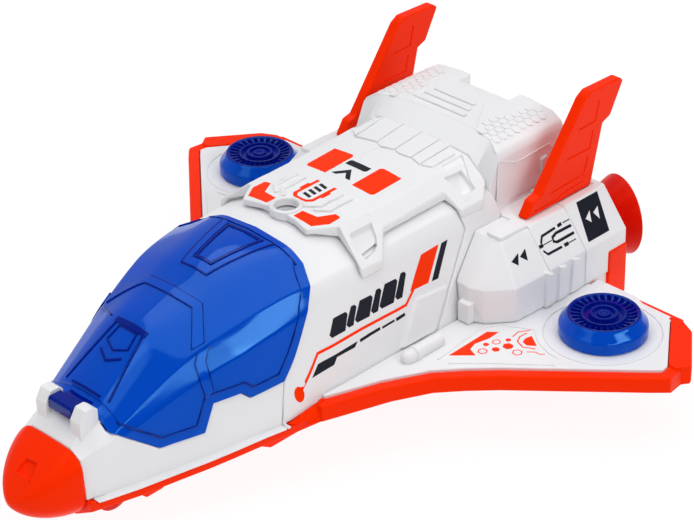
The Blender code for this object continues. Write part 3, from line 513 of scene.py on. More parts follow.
def lug_block(rows, sense, low, high):
    """A block that follows the front lug, between two heights above its skin."""
    return lofted([[(sense * x, a, lug_top(x) + low), (sense * x, a, lug_top(x) + high),
                    (sense * x, b, lug_top(x) + high), (sense * x, b, lug_top(x) + low)] for x, a, b in rows])


roof_skin = ground(frame["nodes"]["roof_plate"])
ring_room = turned([(0.0, 0.0), (7.0, 0.0), (7.0, 6.0), (0.0, 6.0)], (0.0, SOCKET_Y, PLATE_AT_SOCKET_Z), "Z")
rear_hollows = layer(mirrored([REAR_LUG_HOLLOW]), roof_skin, "top", 3.0, 2.2, cell=60.0)
front_hollows = [lug_block(LUG_HOLLOW, sense, -2.4, 4.0) for sense in SIDES.values()]
front_blocks = [lug_block(LUG_FILLED, sense, -1.6, 0.02) for sense in SIDES.values()]
moulding("roof_plate", WHITE, 0.8, cutters=[ring_room, rear_hollows, *front_hollows], blocks=front_blocks)
socket_ring = turned([*SOCKET_RING, SOCKET_RING[0]], (0.0, SOCKET_Y, 0.0), "Z")
new_piece("socket_ring", socket_ring, WHITE, "hull")
raised("roof_ribs", ROOF_RIBS, roof_skin, "top", WHITE, 1.0, 0.45)
raised("roof_louvres", LOUVRES, roof_skin, "top", WHITE, 0.9, 0.4, cell=5.0)
seam = strip([(-2.7, 46.6), (-5.3, 50.0), (-5.2, 59.0)], 0.6)
raised("roof_seam_line", seam, roof_skin, "top", WHITE, 0.25, 0.1)
printed("roof_marks_orange", ROOF_ORANGE, roof_skin, "top", ORANGE_INK)
printed("roof_marks_black", ROOF_BLACK, roof_skin, "top", INK)

# Rear housing: the thick white block with the flat deck, moulded with the band round the fuselage's end.
# A slope runs up to the deck, which carries three long bars and two pads of six-sided cells.
# Each side has a stepped line and a short strut. All of it is moulded on in white.
DECK_BARS = [[(-17.4, 93.6), (11.6, 93.6), (11.2, 95.9), (-17.2, 95.9)],
             [(-16.4, 98.6), (9.4, 98.6), (9.0, 100.9), (-16.2, 100.9)],
             [(-15.2, 103.6), (7.6, 103.6), (7.2, 105.9), (-15.0, 105.9)]]
CELL, CELL_GAP = 2.35, 0.22
CELLS_FRONT_X, CELLS_FRONT_Y = 18.0, 86.0
CELL_ROWS, CELLS_IN_ROW = 8, 10
PAD = ((19.6, 99.0), (25.0, 88.6), (33.8, 88.6), (34.2, 120.6), (24.4, 120.6))
SLOPE = (   # x, height of its front edge on the roof plate, place and height of its rear edge at the deck
    (0.0, 88.7, 90.0, 93.9), (8.0, 88.6, 89.9, 93.9), (14.0, 88.3, 89.6, 93.9), (20.0, 87.9, 89.4, 93.8),
    (26.2, 87.3, 88.5, 93.1), (31.0, 83.3, 87.7, 92.5), (34.0, 80.8, 86.4, 91.2), (37.2, 78.2, 85.0, 89.2),
    (38.5, 77.1, 84.4, 86.8))
SLOPE_FRONT_Y, SLOPE_FOOT_Z = 79.9, 66.0
HOUSING_LINE = strip([(85.4, 86.6), (95.4, 82.3), (115.6, 83.0), (117.6, 80.4)], 0.8)
HOUSING_STRUT = [[(109.8, 78.4), (113.4, 79.2), (113.4, 70.0), (109.8, 70.0)]]


def inside(x, y, outline):
    """Whether a point lies inside a closed outline."""
    crossings = 0
    for (x0, y0), (x1, y1) in zip(outline, outline[1:] + outline[:1]):
        if (y0 > y) != (y1 > y) and x < x0 + (y - y0) * (x1 - x0) / (y1 - y0):
            crossings += 1
    return crossings % 2 == 1


moulding("rear_housing", WHITE, 0.9)
slope = []
for x, front_z, back_y, back_z in [(-row[0], *row[1:]) for row in SLOPE[:0:-1]] + list(SLOPE):
    slope.append([(x, SLOPE_FRONT_Y, SLOPE_FOOT_Z), (x, SLOPE_FRONT_Y, front_z), (x, back_y, back_z),
                  (x, back_y, SLOPE_FOOT_Z)])
rounded(new_piece("deck_slope", lofted(slope), WHITE, "hull"), 0.5, sharp=40.0)
deck_skin = ground(frame["nodes"]["rear_housing"])
raised("deck_bars", DECK_BARS, deck_skin, "top", WHITE, 0.9, 0.4, cell=6.0)
for side in SIDES:
    raised("housing_line_" + side, HOUSING_LINE, deck_skin, side, WHITE, 0.4, 0.2)
    raised("housing_strut_" + side, HOUSING_STRUT, deck_skin, side, WHITE, 1.6, 0.4)
cells = []
for row in range(CELL_ROWS):
    for place in range(CELLS_IN_ROW):
        x = CELLS_FRONT_X + row * 1.5 * CELL
        y = CELLS_FRONT_Y + (place + 0.5 * (row % 2)) * math.sqrt(3.0) * CELL
        if inside(x, y, PAD):
            cells.append(circle(x, y, CELL - CELL_GAP, 6))
raised("deck_cells", mirrored(cells), deck_skin, "top", WHITE, 0.45, 0.15, cell=60.0)
raised("deck_line", mirrored(strip([(9.4, 108.1), (21.0, 90.6)], 0.7)), deck_skin, "top", WHITE, 0.25, 0.1)

# Pods: white engine pods beside the housing, moulded with upright ribs and a collar at the rear.
# They are printed with black arrowheads, a pipe-like mark and a dark band with two white arrowheads.
POD_TOP_PLATE = ((49.8, 65.4), (57.4, 65.2), (57.8, 80.4), (49.8, 80.4))
POD_BLACK = [
    [(65.3, 57.7), (70.5, 59.3), (67.9, 55.6)],
    [(70.4, 57.9), (74.7, 59.6), (73.3, 55.6)],
    *strip([(82.7, 58.9), (85.0, 60.9), (93.4, 61.2)], 0.85),
    [(95.0, 60.7), (97.6, 60.9), (97.6, 62.0), (95.0, 61.8)],
    *strip([(98.4, 61.4), (102.6, 61.4)], 0.35),
    *strip([(102.0, 59.4), (92.6, 59.6), (89.8, 58.9), (89.4, 57.6), (91.0, 56.9), (101.6, 56.9)], 0.95),
    [(81.0, 57.6), (83.4, 57.6), (83.4, 58.8), (81.0, 58.8)],
    *strip([(83.4, 58.2), (88.8, 58.2)], 0.35),
    *strip([(82.1, 56.6), (83.6, 54.9), (92.2, 54.8)], 0.85),
    [(93.6, 54.2), (96.2, 54.2), (96.2, 55.4), (93.6, 55.4)],
    *strip([(96.2, 54.8), (101.0, 54.8)], 0.35)]
COLLAR_BLACK = [[(109.4, 65.5), (105.6, 52.3), (119.0, 52.3), (122.8, 65.5)]]
COLLAR_WHITE = [[(110.0, 59.4), (114.0, 61.2), (112.1, 57.5)], [(115.4, 60.0), (119.2, 61.2), (117.1, 57.2)]]
for side, sense in SIDES.items():
    moulding("pod_" + side, WHITE, 0.6)
    pod_skin = ground(frame["nodes"]["pod_" + side])
    plate = [(sense * x, y) for x, y in POD_TOP_PLATE]
    raised("pod_top_plate_" + side, [plate], pod_skin, "top", WHITE, 1.8, 0.3)
    printed("pod_marks_" + side, POD_BLACK, pod_skin, side, INK)
    printed("collar_band_" + side, COLLAR_BLACK, pod_skin, side, INK)
    printed("collar_arrows_" + side, COLLAR_WHITE, pod_skin, side, WHITE, up=0.12)

# White wing panels: flat panels let into the orange frames, each with a spindle for its disc.
# A fine ring and a raised border are moulded on each, with a tail strip behind and a collar on its nub.
# The front corner is printed in orange with a bent arrow, cells and arcs.
DISC_X, DISC_Y = 100.0, 79.75
RING_RADIUS, BORDER_RADIUS = 24.2, 27.0
BORDER_ARC = [(DISC_X - BORDER_RADIUS * math.cos(math.radians(turn)),
               DISC_Y - BORDER_RADIUS * math.sin(math.radians(turn))) for turn in range(39, 89, 7)]
PANEL_LINES = (strip([(65.1, 19.9), (62.6, 45.0), (63.4, 51.0), (66.0, 55.6), *BORDER_ARC], 0.8)
               + strip([(69.8, 20.6), (84.4, 33.8), (101.8, 48.2)], 0.5)
               + strip(circle(DISC_X, DISC_Y, RING_RADIUS, 72), 0.6, closed=True))
PANEL_PRINT = [
    [(66.2, 25.1), (74.0, 32.4), (69.4, 34.2), (68.0, 38.4), (69.6, 45.5), (69.2, 51.4), (65.6, 48.3)],
    circle(71.6, 41.1, 1.3, 6),
    circle(75.9, 49.6, 1.15, 16),
    circle(76.9, 41.0, 1.7, 6),
    circle(78.9, 46.1, 2.3, 6),
    *strip(circle(73.4, 45.3, 1.7, 6), 0.4, closed=True),
    *strip(circle(73.9, 36.5, 1.9, 6), 0.45, closed=True),
    *strip(circle(84.6, 45.2, 2.0, 6), 0.45, closed=True),
    [(80.8, 58.2), (80.1, 55.0), (81.2, 52.3), (83.9, 51.6), (87.2, 54.0)],
    *strip([(77.9, 58.6), (77.7, 54.4), (79.4, 51.2), (83.6, 49.6), (88.2, 52.0)], 0.55),
    *strip([(75.6, 52.6), (74.9, 56.8), (77.6, 61.0)], 0.5),
    *strip([(87.1, 48.0), (89.6, 50.2), (92.1, 50.3), (93.5, 51.7)], 0.45)]
PANEL_TAIL = [(72.2, 104.6), (114.4, 104.6), (115.6, 107.6), (98.0, 107.9), (92.0, 110.2), (72.2, 110.2)]
TAIL_FOOT_Z, TAIL_TOP_Z = 32.4, 33.5
NUB_X, NUB_Z = 57.0, 35.1
NUB_COLLAR = ((3.0, 14.0), (3.5, 14.3), (3.5, 15.7), (3.0, 16.0), (3.0, 14.0))   # radius, y
for side, sense in SIDES.items():
    moulding("wing_panel_" + side, WHITE, 0.5)
    tail = lofted([[(sense * x, y, z) for x, y in PANEL_TAIL] for z in (TAIL_FOOT_Z, TAIL_TOP_Z)])
    rounded(new_piece("panel_tail_" + side, tail, WHITE, "hull"), 0.3, sharp=40.0)
    collar = turned(NUB_COLLAR, (sense * NUB_X, 0.0, NUB_Z), "Y", 32)
    new_piece("nub_collar_" + side, collar, WHITE, "hull")
    panel_skin = ground(frame["nodes"]["wing_panel_" + side])
    lines, marks = ([[(sense * x, y) for x, y in outline] for outline in group]
                    for group in (PANEL_LINES, PANEL_PRINT))
    raised("panel_lines_" + side, lines, panel_skin, "top", WHITE, 0.4, 0.15, cell=30.0)
    printed("panel_print_" + side, marks, panel_skin, "top", ORANGE_INK, cell=30.0)

# Tray: the orange-red lower moulding that closes the hull from below, with its wheel arches.
# It is satin orange-red plastic, and its rim shows as a thin line under the cockpit.
ORANGE = plastic("orange_plastic", paint(255, 44, 1), 0.34, vary=0.04, gloss=0.15, sheen=(1.0, 0.3, 0.08))
moulding("chassis", ORANGE, 0.5)

# Wing frames and engine covers: the same orange-red plastic, clipped on under the panels and the pods.
# The frames' edges are well rounded where a hand holds them. A cover is a plain box with a slanted foot.
COVER_FRONT_Y, COVER_BACK_Y, COVER_INNER_X = 116.9, 128.6, 52.0
COVER_OUTER = ((71.0, 14.0), (72.3, 20.0), (72.3, 43.6))   # outer x and height, from the foot up
for side, sense in SIDES.items():
    moulding("wing_frame_" + side, ORANGE, 0.9)
    inner_x = sense * COVER_INNER_X
    rings = [[(inner_x, COVER_FRONT_Y, z), (inner_x, COVER_BACK_Y, z), (sense * x, COVER_BACK_Y, z),
              (sense * x, COVER_FRONT_Y, z)] for x, z in COVER_OUTER]
    cover = new_piece("engine_cover_moulded_" + side, lofted(rings), ORANGE, "hull")
    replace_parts(rounded(cover, 0.8, sharp=40.0), "engine_cover_" + side)

# Nose cap: the orange-red cap plugged into the cockpit's front end, its top sloping to a blunt, low tip.
# A small four-sided hollow is moulded in its upper front.
NOSE_BACK_Y, NOSE_TIP_Y, NOSE_TIP_Z = -121.55, -143.35, 19.1
NOSE_PLAN, NOSE_UPPER, NOSE_LOWER = 1.63, 1.2, 1.91   # powers of its curves: 2 is an ellipse, 1 a cone
NOSE_RINGS, NOSE_BLUNT = 32, 0.985
NOSE_SECTION = (   # half section (x, z) where the cap meets the cockpit
    (0.0, 8.1), (6.5, 8.4), (12.0, 9.9), (16.3, 13.4), (18.4, 18.2), (18.4, 28.5), (17.8, 32.6),
    (16.4, 34.9), (13.8, 36.9), (11.2, 37.8), (6.0, 38.2), (0.0, 38.3))
NOSE_HOLLOW = [(-3.0, 31.8), (3.0, 32.3), (4.6, 27.6), (-3.8, 28.0)]


def blended(points, per_span):
    """Points on a smooth curve through some points."""
    points = [Vector(p) for p in points]
    padded = [2 * points[0] - points[1], *points, 2 * points[-1] - points[-2]]
    curve = []
    for a, b, c, d in zip(padded, padded[1:], padded[2:], padded[3:]):
        for step in range(per_span):
            t = step / per_span
            curve.append(0.5 * ((2 * b) + (c - a) * t + (2 * a - 5 * b + 4 * c - d) * t ** 2
                                + (3 * b - 3 * c + d - a) * t ** 3))
    return curve + [points[-1]]


half = blended(NOSE_SECTION, 4)
rings = []
for step in range(NOSE_RINGS + 1):
    along = math.sin(0.5 * math.pi * min(step / NOSE_RINGS, NOSE_BLUNT))
    powers = (NOSE_PLAN, NOSE_UPPER, NOSE_LOWER)
    plan, upper, lower = ((1.0 - along ** power) ** (1.0 / power) for power in powers)
    ring = []
    for x, z in half:
        rise = z - NOSE_TIP_Z
        ring.append((x * plan, NOSE_BACK_Y - along * (NOSE_BACK_Y - NOSE_TIP_Y),
                     NOSE_TIP_Z + rise * (upper if rise > 0 else lower)))
    rings.append(ring + [(-x, y, z) for x, y, z in ring[-2:0:-1]])
nose = new_piece("nose_cap_moulded", lofted(rings), ORANGE, "hull")
carve(nose, layer([NOSE_HOLLOW], ground(frame["nodes"]["nose_cap"]), "front", 2.0, 1.3, cell=2.0))
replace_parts(nose, "nose_cap")
rounded(nose, 0.5, sharp=40.0)

# Fins: flat orange-red fins, moulded in one piece each and plugged into the pods.
# A few lines are engraved on both faces.
FIN_LINES = (strip([(127.6, 104.3), (125.8, 95.6), (115.4, 95.2)], 0.7)
             + strip([(124.4, 91.7), (122.5, 84.1), (108.2, 84.1)], 0.7)
             + strip([(121.7, 80.6), (119.2, 73.2), (98.6, 72.6)], 0.7))
FIN_ROOT = strip([(88.4, 68.2), (102.6, 68.0), (105.8, 69.6), (119.6, 70.0)], 0.6)
for side in SIDES:
    fin_skin = ground(frame["nodes"]["fin_" + side])
    grooves = [layer(group, fin_skin, face, 0.6, 0.45, cell=40.0) for group in (FIN_LINES, FIN_ROOT)
               for face in SIDES]
    moulding("fin_" + side, ORANGE, 0.8, cutters=grooves)

# Nozzles: deep red plastic bells, turned smooth and open at the back, with a stepped hollow.
# Each is pushed onto its pod's rear end and points a little outwards.
RED = plastic("red_plastic", paint(216, 8, 1), 0.36, vary=0.05, gloss=0.3, sheen=(1.0, 0.3, 0.1))
NOZZLE_X, NOZZLE_Z, NOZZLE_FRONT_Y = 53.0, 46.0, 129.2
NOZZLE_SPLAY = 20.0   # degrees
BELL = (   # radius and distance from the front face, from inside the throat, over the lip, to the front
    (0.0, 2.0), (3.4, 2.0), (3.8, 2.4), (5.2, 2.4), (5.6, 2.0), (8.3, 2.0), (9.4, 3.2), (11.2, 5.9),
    (11.5, 6.0), (13.2, 9.4), (13.5, 9.5), (15.7, 13.6), (16.0, 14.0), (17.1, 14.1), (17.5, 13.7),
    (17.4, 13.2), (16.0, 10.2), (13.2, 5.2), (11.0, 1.2), (10.6, 0.0), (10.6, -3.4), (0.0, -3.4))
for side, sense in SIDES.items():
    at = (sense * NOZZLE_X, NOZZLE_FRONT_Y, NOZZLE_Z)
    bell = turned(BELL, at, "Y")
    splay = Matrix.Rotation(math.radians(-NOZZLE_SPLAY * sense), 3, "Z")
    bmesh.ops.rotate(bell, verts=bell.verts[:], cent=Vector(at) * MM, matrix=splay)
    nozzle = new_piece("nozzle_bell_" + side, bell, RED, "hull")
    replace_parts(nozzle, "nozzle_" + side)

# Wheels: the same red plastic, a hub and a grooved tyre in one, two pressed onto each axle.
# Each pair turns as one body, half hidden in the tray's arches.
WHEELS = (   # node, body, y, wheel centre x, width, radius
    ("front_wheels", "front_axle", -102.55, 8.5, 6.0, 8.5),
    ("rear_wheels", "rear_axle", 93.75, 38.0, 9.0, 12.0))
AXLE_RADIUS = 1.5
GROOVES = 3


def joined(*shapes):
    """One mesh of several closed shapes."""
    whole = bmesh.new()
    carrier = bpy.data.meshes.new("carrier")
    for shape in shapes:
        shape.to_mesh(carrier)
        shape.free()
        whole.from_mesh(carrier)
    bpy.data.meshes.remove(carrier)
    return whole


for node, body, y, x, width, radius in WHEELS:
    half = 0.5 * width
    cheek = [(0.0, -half + 0.6), (1.9, -half + 0.6), (2.3, -half + 1.2), (radius * 0.42, -half + 1.2),
             (radius * 0.55, -half + 0.2), (radius * 0.62, -half), (radius - 1.6, -half),
             (radius - 0.5, -half + 0.6)]
    tread = []
    for step in range(GROOVES):
        mid = -half + width * (step + 1) / (GROOVES + 1)
        tread += [(radius, mid - 0.7), (radius - 0.45, mid - 0.35), (radius - 0.45, mid + 0.35),
                  (radius, mid + 0.7)]
    profile = cheek + tread + [(r, -a) for r, a in reversed(cheek)]
    axle = turned([(0.0, -x), (AXLE_RADIUS, -x), (AXLE_RADIUS, x), (0.0, x)], (0.0, y, radius), "X", 24)
    wheels = [turned(profile, (at, y, radius), "X", 56) for at in (-x, x)]
    pair = new_piece(node + "_turned", joined(axle, *wheels), RED, body)
    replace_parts(pair, node)

# Wing discs: clear blue discs that turn on the panels' spindles, moulded with a ring of blades and a hub.
# Each is one moulding, snapped over its spindle, its flange close to the panel.
DISC_FOOT_Z = 33.8
BLADES, BLADE_STEPS = 28, 6
BLADE_TWIST = 0.05                          # of a blade's spacing for each mm of radius
DARK_TOP_RADIUS, DARK_TOP_Z = 15.2, 40.0    # the top is a deeper blue inside this and above this
DISC_RINGS = (   # radius, height of its top, height between the blades
    (0.0, 42.4, 42.4), (1.2, 42.4, 42.4), (1.6, 42.9, 42.9), (2.5, 42.9, 42.9), (2.9, 41.9, 41.9),
    (4.2, 41.9, 41.9), (4.6, 43.1, 43.1), (5.7, 43.1, 43.1), (6.2, 41.2, 41.2), (8.0, 41.2, 41.2),
    (8.4, 42.7, 42.7), (9.2, 42.8, 42.8), (9.6, 41.9, 40.3), (11.2, 42.1, 40.5), (12.9, 42.4, 40.9),
    (13.5, 42.9, 42.9), (14.0, 43.2, 43.2), (14.6, 43.2, 43.2), (14.9, 43.0, 43.0), (15.6, 42.0, 42.0),
    (17.6, 39.3, 39.3), (18.0, 38.8, 38.8), (18.2, 38.2, 38.2), (18.2, 34.2, 34.2),
    (17.9, DISC_FOOT_Z, DISC_FOOT_Z), (2.7, DISC_FOOT_Z, DISC_FOOT_Z), (2.7, 39.6, 39.6), (0.0, 39.6, 39.6))
BLUE = plastic("clear_blue_plastic", paint(0, 90, 232), 0.08, vary=0.03, grain=0.02, gloss=0.4, clear=0.45,
               sheen=(0.2, 0.65, 1.0))
# A deeper blue for the discs' tops and the hinge arm; on the canopy it draws thin lines that are partly
# painted shade.
DEEP_BLUE_AND_SHADE = plastic("deep_blue_plastic_and_shade", paint(0, 26, 150), 0.1, vary=0.03, grain=0.02, gloss=0.3, clear=0.35,
                    sheen=(0.2, 0.6, 1.0))
for side, sense in SIDES.items():
    bm = bmesh.new()
    rows = []
    steps = BLADES * BLADE_STEPS
    for radius, top, between in DISC_RINGS:
        row = []
        for step in range(steps if radius > 0.0 else 1):
            turn = 2 * math.pi * (step / BLADE_STEPS + BLADE_TWIST * radius) / BLADES
            height = top if step % BLADE_STEPS < BLADE_STEPS / 2 else between
            row.append(bm.verts.new((MM * (sense * DISC_X + radius * math.cos(turn)),
                                     MM * (DISC_Y + radius * math.sin(turn)), MM * height)))
        rows.append(row)
    disc = new_piece("disc_bladed_" + side, skinned(bm, rows, steps, 35.0), BLUE, "disc_" + side)
    disc.data.materials.append(DEEP_BLUE_AND_SHADE)
    for face in disc.data.polygons:
        off = face.center - Vector((sense * DISC_X, DISC_Y, 0.0)) * MM
        face.material_index = int(off.z > DARK_TOP_Z * MM and off.xy.length < DARK_TOP_RADIUS * MM)
    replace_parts(disc, "wing_disc_" + side)

# Canopy: a clear blue shell that hinges at its front on a pin between the cockpit's ears.
# It is one moulding: a flat rim all round, the glass raised from it, and framing lines moulded on the glass.
CANOPY_NOSE_Y = -121.25
CANOPY_SECTIONS = (   # y, sill x, z, side corner x, z, roof crease x, z, crown z, and the side crease's rise
    (CANOPY_NOSE_Y, 18.4, 17.7, 16.4, 34.9, 11.2, 37.8, 38.0, 0.0),
    (-114.25, 20.9, 18.0, 18.0, 37.4, 10.8, 43.4, 43.6, 0.8),
    (-107.25, 23.6, 18.6, 19.6, 39.9, 10.8, 46.2, 46.5, 1.6),
    (-103.25, 25.2, 19.0, 20.6, 42.0, 11.0, 49.0, 49.4, 2.2),
    (-86.25, 32.7, 22.1, 24.0, 51.0, 10.6, 61.0, 61.6, 4.0),
    (-78.25, 36.1, 23.4, 25.8, 55.0, 11.0, 66.0, 66.8, 4.5),
    (-69.25, 39.4, 24.8, 28.0, 59.6, 12.0, 69.0, 70.0, 4.6),
    (-55.25, 43.4, 26.3, 31.6, 65.2, 14.1, 72.8, 74.2, 4.4),
    (-44.25, 46.4, 27.0, 33.2, 69.0, 14.4, 77.2, 78.4, 3.0),
    (-30.25, 50.6, 27.0, 34.2, 71.6, 16.5, 79.9, 81.2, 1.4),
    (-17.25, 51.0, 27.0, 34.9, 72.3, 19.0, 80.7, 82.1, 0.0),
    (19.75, 51.0, 27.0, 36.3, 73.2, 20.0, 80.8, 82.1, 0.0))
CREASE_UP, CREASE_OUT = 0.75, 0.28       # which way the side crease rises from the side corner
LOWER_OUT, LOWER_DOWN = 4.6, 6.0         # from the side corner to the lower crease, at full width
FULL_WIDTH_LENGTH = 79.1                 # how far behind the nose the shell has its full width
CREASE_RADII = (5.0, 0.9, 0.9)           # at the roof crease, the side crease and the lower crease
SHELL_FRONT_Y, SHELL_STEP, SHELL_RINGS = -119.0, 2.0, 58
CANOPY_EDGE = (   # side view (y, z) of the canopy's lower edge, from nose to roof
    (-108.15, 41.3), (-106.15, 40.6), (-92.55, 31.2), (-75.85, 32.9), (-70.35, 43.3), (-59.45, 44.3),
    (-56.55, 41.5), (-42.15, 43.6), (-35.75, 51.2), (-25.45, 65.2), (-18.75, 72.9), (-14.45, 77.3),
    (-13.45, 84.0))
EDGE_GAP, RIM = 0.3, 3.9                 # between the canopy and the white shell, and the rim's width
OVER_ALL, BESIDE_ALL = 120.0, 80.0       # higher and wider than the canopy


def section_at(y):
    """The canopy's section at a distance along the toy, on smooth curves through the measured ones."""
    rows = CANOPY_SECTIONS
    i = max(k for k in range(len(rows) - 1) if rows[k][0] <= y)
    a, b = rows[i], rows[i + 1]
    before, after = rows[max(0, i - 1)], rows[min(len(rows) - 1, i + 2)]
    span = b[0] - a[0]
    t = (y - a[0]) / span
    values = []
    for p, q, r, s in zip(before[1:], a[1:], b[1:], after[1:]):
        left = span * (r - p) / (b[0] - before[0])
        right = span * (s - q) / (after[0] - a[0])
        values.append((2 * t ** 3 - 3 * t ** 2 + 1) * q + (t ** 3 - 2 * t ** 2 + t) * left
                      + (3 * t ** 2 - 2 * t ** 3) * r + (t ** 3 - t ** 2) * right)
    return values


def canopy_half(y, out):
    """Half of the canopy's outer or inner line at a distance along the toy, from the crown to the sill."""
    sill_x, sill_z, side_x, side_z, roof_x, roof_z, crown_z, rise = section_at(y)
    up = Vector((roof_x - side_x, roof_z - side_z)).normalized()
    crease = Vector((side_x, side_z)) + rise * (CREASE_UP * up + CREASE_OUT * Vector((up.y, -up.x)))
    share = min(1.0, (y - CANOPY_NOSE_Y) / FULL_WIDTH_LENGTH)
    corners = [(0.0, crown_z + out), (roof_x + 0.3 * out, roof_z + out),
               (crease.x + 0.8 * out, crease.y + 0.8 * out),
               (side_x + LOWER_OUT * share + out, side_z - LOWER_DOWN * share - 0.4 + 0.3 * out),
               (sill_x + out, sill_z)]
    corners = [Vector(c) for c in corners]
    line = [corners[0]]
    for before, at, after, radius in zip(corners, corners[1:], corners[2:], CREASE_RADII):
        a = at + (before - at) * min(0.45, radius / (before - at).length)
        b = at + (after - at) * min(0.45, radius / (after - at).length)
        line += [line[-1].lerp(a, t) for t in (0.33, 0.67)]
        line += [(1 - t) ** 2 * a + 2 * t * (1 - t) * at + t * t * b for t in (0.0, 0.25, 0.5, 0.75, 1.0)]
    line += [line[-1].lerp(corners[-1], t) for t in (0.2, 0.4, 0.6, 0.8, 1.0)]
    return line


def canopy_shell(outer, inner):
    """The whole arched shell between two offsets from the measured skin, before its edge is cut."""
    rings = []
    for step in range(SHELL_RINGS):
        y = SHELL_FRONT_Y + SHELL_STEP * step
        out, back = ([(x, y, z) for x, z in canopy_half(y, offset)] for offset in (outer, inner))
        arch, under = ([(-x, y, z) for x, y, z in side[:0:-1]] + side for side in (out, back))
        rings.append(arch + under[::-1])
    return lofted(rings)


def inset(outline, distance):
    """An outline moved inwards on all sides."""
    points = [Vector(p) for p in outline]
    turn = sum(a.x * b.y - b.x * a.y for a, b in zip(points, points[1:] + points[:1]))
    sense = 1.0 if turn > 0 else -1.0
    moved = []
    for before, at, after in zip(points[-1:] + points[:-1], points, points[1:] + points[:1]):
        one, two = (at - before).normalized(), (after - at).normalized()
        left, right = (sense * Vector((-d.y, d.x)) for d in (one, two))
        middle = (left + right).normalized()
        moved.append(at + middle * distance / max(0.3, middle.dot(left)))
    return moved


def side_prism(outline, half):
    """A prism across the toy with an outline that is seen from the side (y, z)."""
    return lofted([[(x, p[0], p[1]) for p in outline] for x in (-half, half)])


region = [*CANOPY_EDGE, (CANOPY_EDGE[-1][0], OVER_ALL), (CANOPY_EDGE[0][0], OVER_ALL)]
glass_region = inset(region, EDGE_GAP + RIM)
canopy = new_piece("canopy_clear", canopy_shell(0.6, -0.9), BLUE, "canopy")
carve(canopy, side_prism(inset(region, EDGE_GAP), BESIDE_ALL), "INTERSECT")
glass = new_piece("canopy_glass", canopy_shell(1.3, 0.1), BLUE, "canopy")
carve(glass, side_prism(glass_region, BESIDE_ALL), "INTERSECT")
raised_glass = bmesh.new()
raised_glass.from_mesh(glass.data)
carve(canopy, raised_glass, "UNION")
bpy.data.objects.remove(glass)
bm = bmesh.new()
bm.from_mesh(canopy.data)
for edge in bm.edges:
    edge.smooth = len(edge.link_faces) == 2 and edge.calc_face_angle(0.0) < math.radians(34.0)
for face in bm.faces:
    face.smooth = True
bm.to_mesh(canopy.data)
bm.free()
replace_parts(canopy, "canopy")

# Canopy framing: broad bands moulded on the glass in the canopy's own blue plastic, and thin lines of a
# deeper blue raised on it.
# The thin lines are partly painted shade: along the rim's step, round the window frame and on the band's
# edges they stand in for the shade and dark reflections at those steps.
# A band crosses the canopy and runs down both sides, and a wedge-shaped window frame lies on top.
FRAME_BACK = [(0.0, -57.4), (15.2, -56.8), (26.2, -66.6)]     # seen from above
FRAME_FRONT = [(0.0, -61.0), (13.7, -60.4), (24.6, -71.2)]
FRAME_SIDE_BACK = [(-66.0, 64.2), (-69.3, 59.6), (-70.0, 54.2), (-70.1, 48.9)]   # seen from the side
FRAME_SIDE_FRONT = [(-70.6, 62.2), (-72.8, 59.0), (-73.6, 53.3), (-72.9, 45.6)]
WINDOW_OUTER = [(-14.2, -18.2), (-7.1, -46.9), (7.1, -46.9), (14.2, -18.2)]
WINDOW_INNER = [(-10.8, -18.6), (-5.3, -43.3), (5.3, -43.3), (10.8, -18.6)]
NOSE_MARK = [(-4.8, -80.9), (4.8, -80.9), (5.9, -86.6), (0.0, -89.0), (-5.9, -86.6)]
# Thin dark lines on the glass, seen from above, partly painted shade: the window's ring and outer line and
# the band's edge lines stand in for the shade and dark reflections where the glass steps.
GLASS_LINES_AND_SHADE = (strip([(-9.2, -20.2), (9.2, -20.2), (4.3, -41.9), (-4.3, -41.9)], 1.3, closed=True)
               + strip(WINDOW_OUTER, 0.7)
               + mirrored(strip(FRAME_BACK, 0.7) + strip(FRAME_FRONT, 0.7))
               + strip(NOSE_MARK, 0.6, closed=True)
               + strip([(-5.8, -90.0), (0.0, -92.8), (5.8, -90.0)], 0.8)
               + strip([(-8.6, -79.4), (8.6, -79.4)], 2.2)
               + mirrored(strip([(7.6, -80.4), (9.9, -91.4), (12.3, -102.6)], 0.8))
               + strip([(-8.0, -103.0), (8.0, -103.0)], 0.8)
               + strip([(-12.8, -78.2), (-23.2, -73.6)], 0.6)
               + strip([(-26.0, -17.9), (-13.0, -17.6), (13.0, -17.6), (26.0, -17.9)], 0.9))
# The same seen from the side, also painted shade: the band's edge lines and the line along the rim's step.
SIDE_LINES_AND_SHADE = (strip(FRAME_SIDE_BACK, 0.7) + strip(FRAME_SIDE_FRONT, 0.7)
                    + strip([(-17.9, 79.2), *[(p.x, p.y) for p in glass_region[-5:0:-1]]], 0.9))
GLASS_CELL = 2.0


def band(one, two):
    """The four-sided pieces between two lines."""
    return [[a, b, d, c] for a, b, c, d in zip(one, one[1:], two, two[1:])]


def on_glass(name, outlines, view, finish, up, edge):
    """Relief on the canopy: moulded bands, and thin dark lines that are partly painted shade."""
    raised(name, outlines, glass_skin, view, finish, up, edge, "canopy", GLASS_CELL)


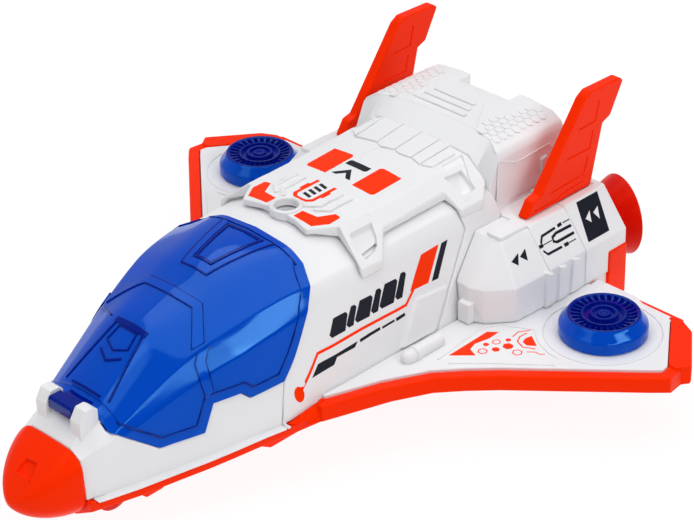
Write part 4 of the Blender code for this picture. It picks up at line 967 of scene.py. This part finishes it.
glass_skin = ground(canopy)
on_glass("canopy_frame", mirrored(band(FRAME_BACK, FRAME_FRONT)), "top", BLUE, 0.55, 0.2)
on_glass("canopy_window", band(WINDOW_OUTER, WINDOW_INNER), "top", BLUE, 0.45, 0.2)
# The thin lines in the deeper blue are partly painted shade at the glass's steps.
on_glass("canopy_lines_and_shade", GLASS_LINES_AND_SHADE, "top", DEEP_BLUE_AND_SHADE, 0.5, 0.12)
for side in SIDES:
    on_glass("canopy_frame_" + side, band(FRAME_SIDE_BACK, FRAME_SIDE_FRONT), side, BLUE, 0.55, 0.2)
    on_glass("canopy_lines_and_shade_" + side, SIDE_LINES_AND_SHADE, side, DEEP_BLUE_AND_SHADE, 0.5, 0.12)

# Canopy hinge: a boxy arm moulded on the canopy's front end, between the cockpit's ears.
# The pin that it turns on runs through it into both ears.
ARM_SIDE = (   # (y, z) seen from the side
    (-116.1, 45.8), (-115.3, 44.9), (-110.75, 44.9), (-104.85, 45.4), (-104.85, 48.3), (-108.6, 48.8),
    (-110.2, 50.6), (-115.3, 50.6), (-116.1, 49.8))
ARM_HALF_WIDTH = 6.6
PIN_PROFILE = ((0.0, -9.5), (1.0, -9.5), (1.2, -9.3), (1.2, 9.3), (1.0, 9.5), (0.0, 9.5))   # radius, x
PIN_Y, PIN_Z = -112.75, 47.8
arm = new_piece("canopy_arm", side_prism(ARM_SIDE, ARM_HALF_WIDTH), DEEP_BLUE_AND_SHADE, "canopy")
rounded(arm, 0.35)
pin = turned(PIN_PROFILE, (0.0, PIN_Y, PIN_Z), "X", 24)
new_piece("canopy_pin", pin, BLUE, "canopy")

# Seat: a dark moulded seat on the cockpit's floor, seen only through the canopy or with it open.
# Its cushion and its back carry flat pads with soft rims, moulded in one with it.
DARK = plastic("dark_plastic", paint(38, 40, 48), 0.5, vary=0.1)
SEAT_PADS = [[(-9.0, -64.0), (9.0, -64.0), (9.0, -49.0), (-9.0, -49.0)],
             [(-8.0, -45.0), (8.0, -45.0), (7.0, -36.5), (-7.0, -36.5)]]
moulding("seat", DARK, 1.4, steps=3)
seat_skin = ground(frame["nodes"]["seat"])
raised("seat_pads", SEAT_PADS, seat_skin, "top", DARK, 0.8, 0.5)
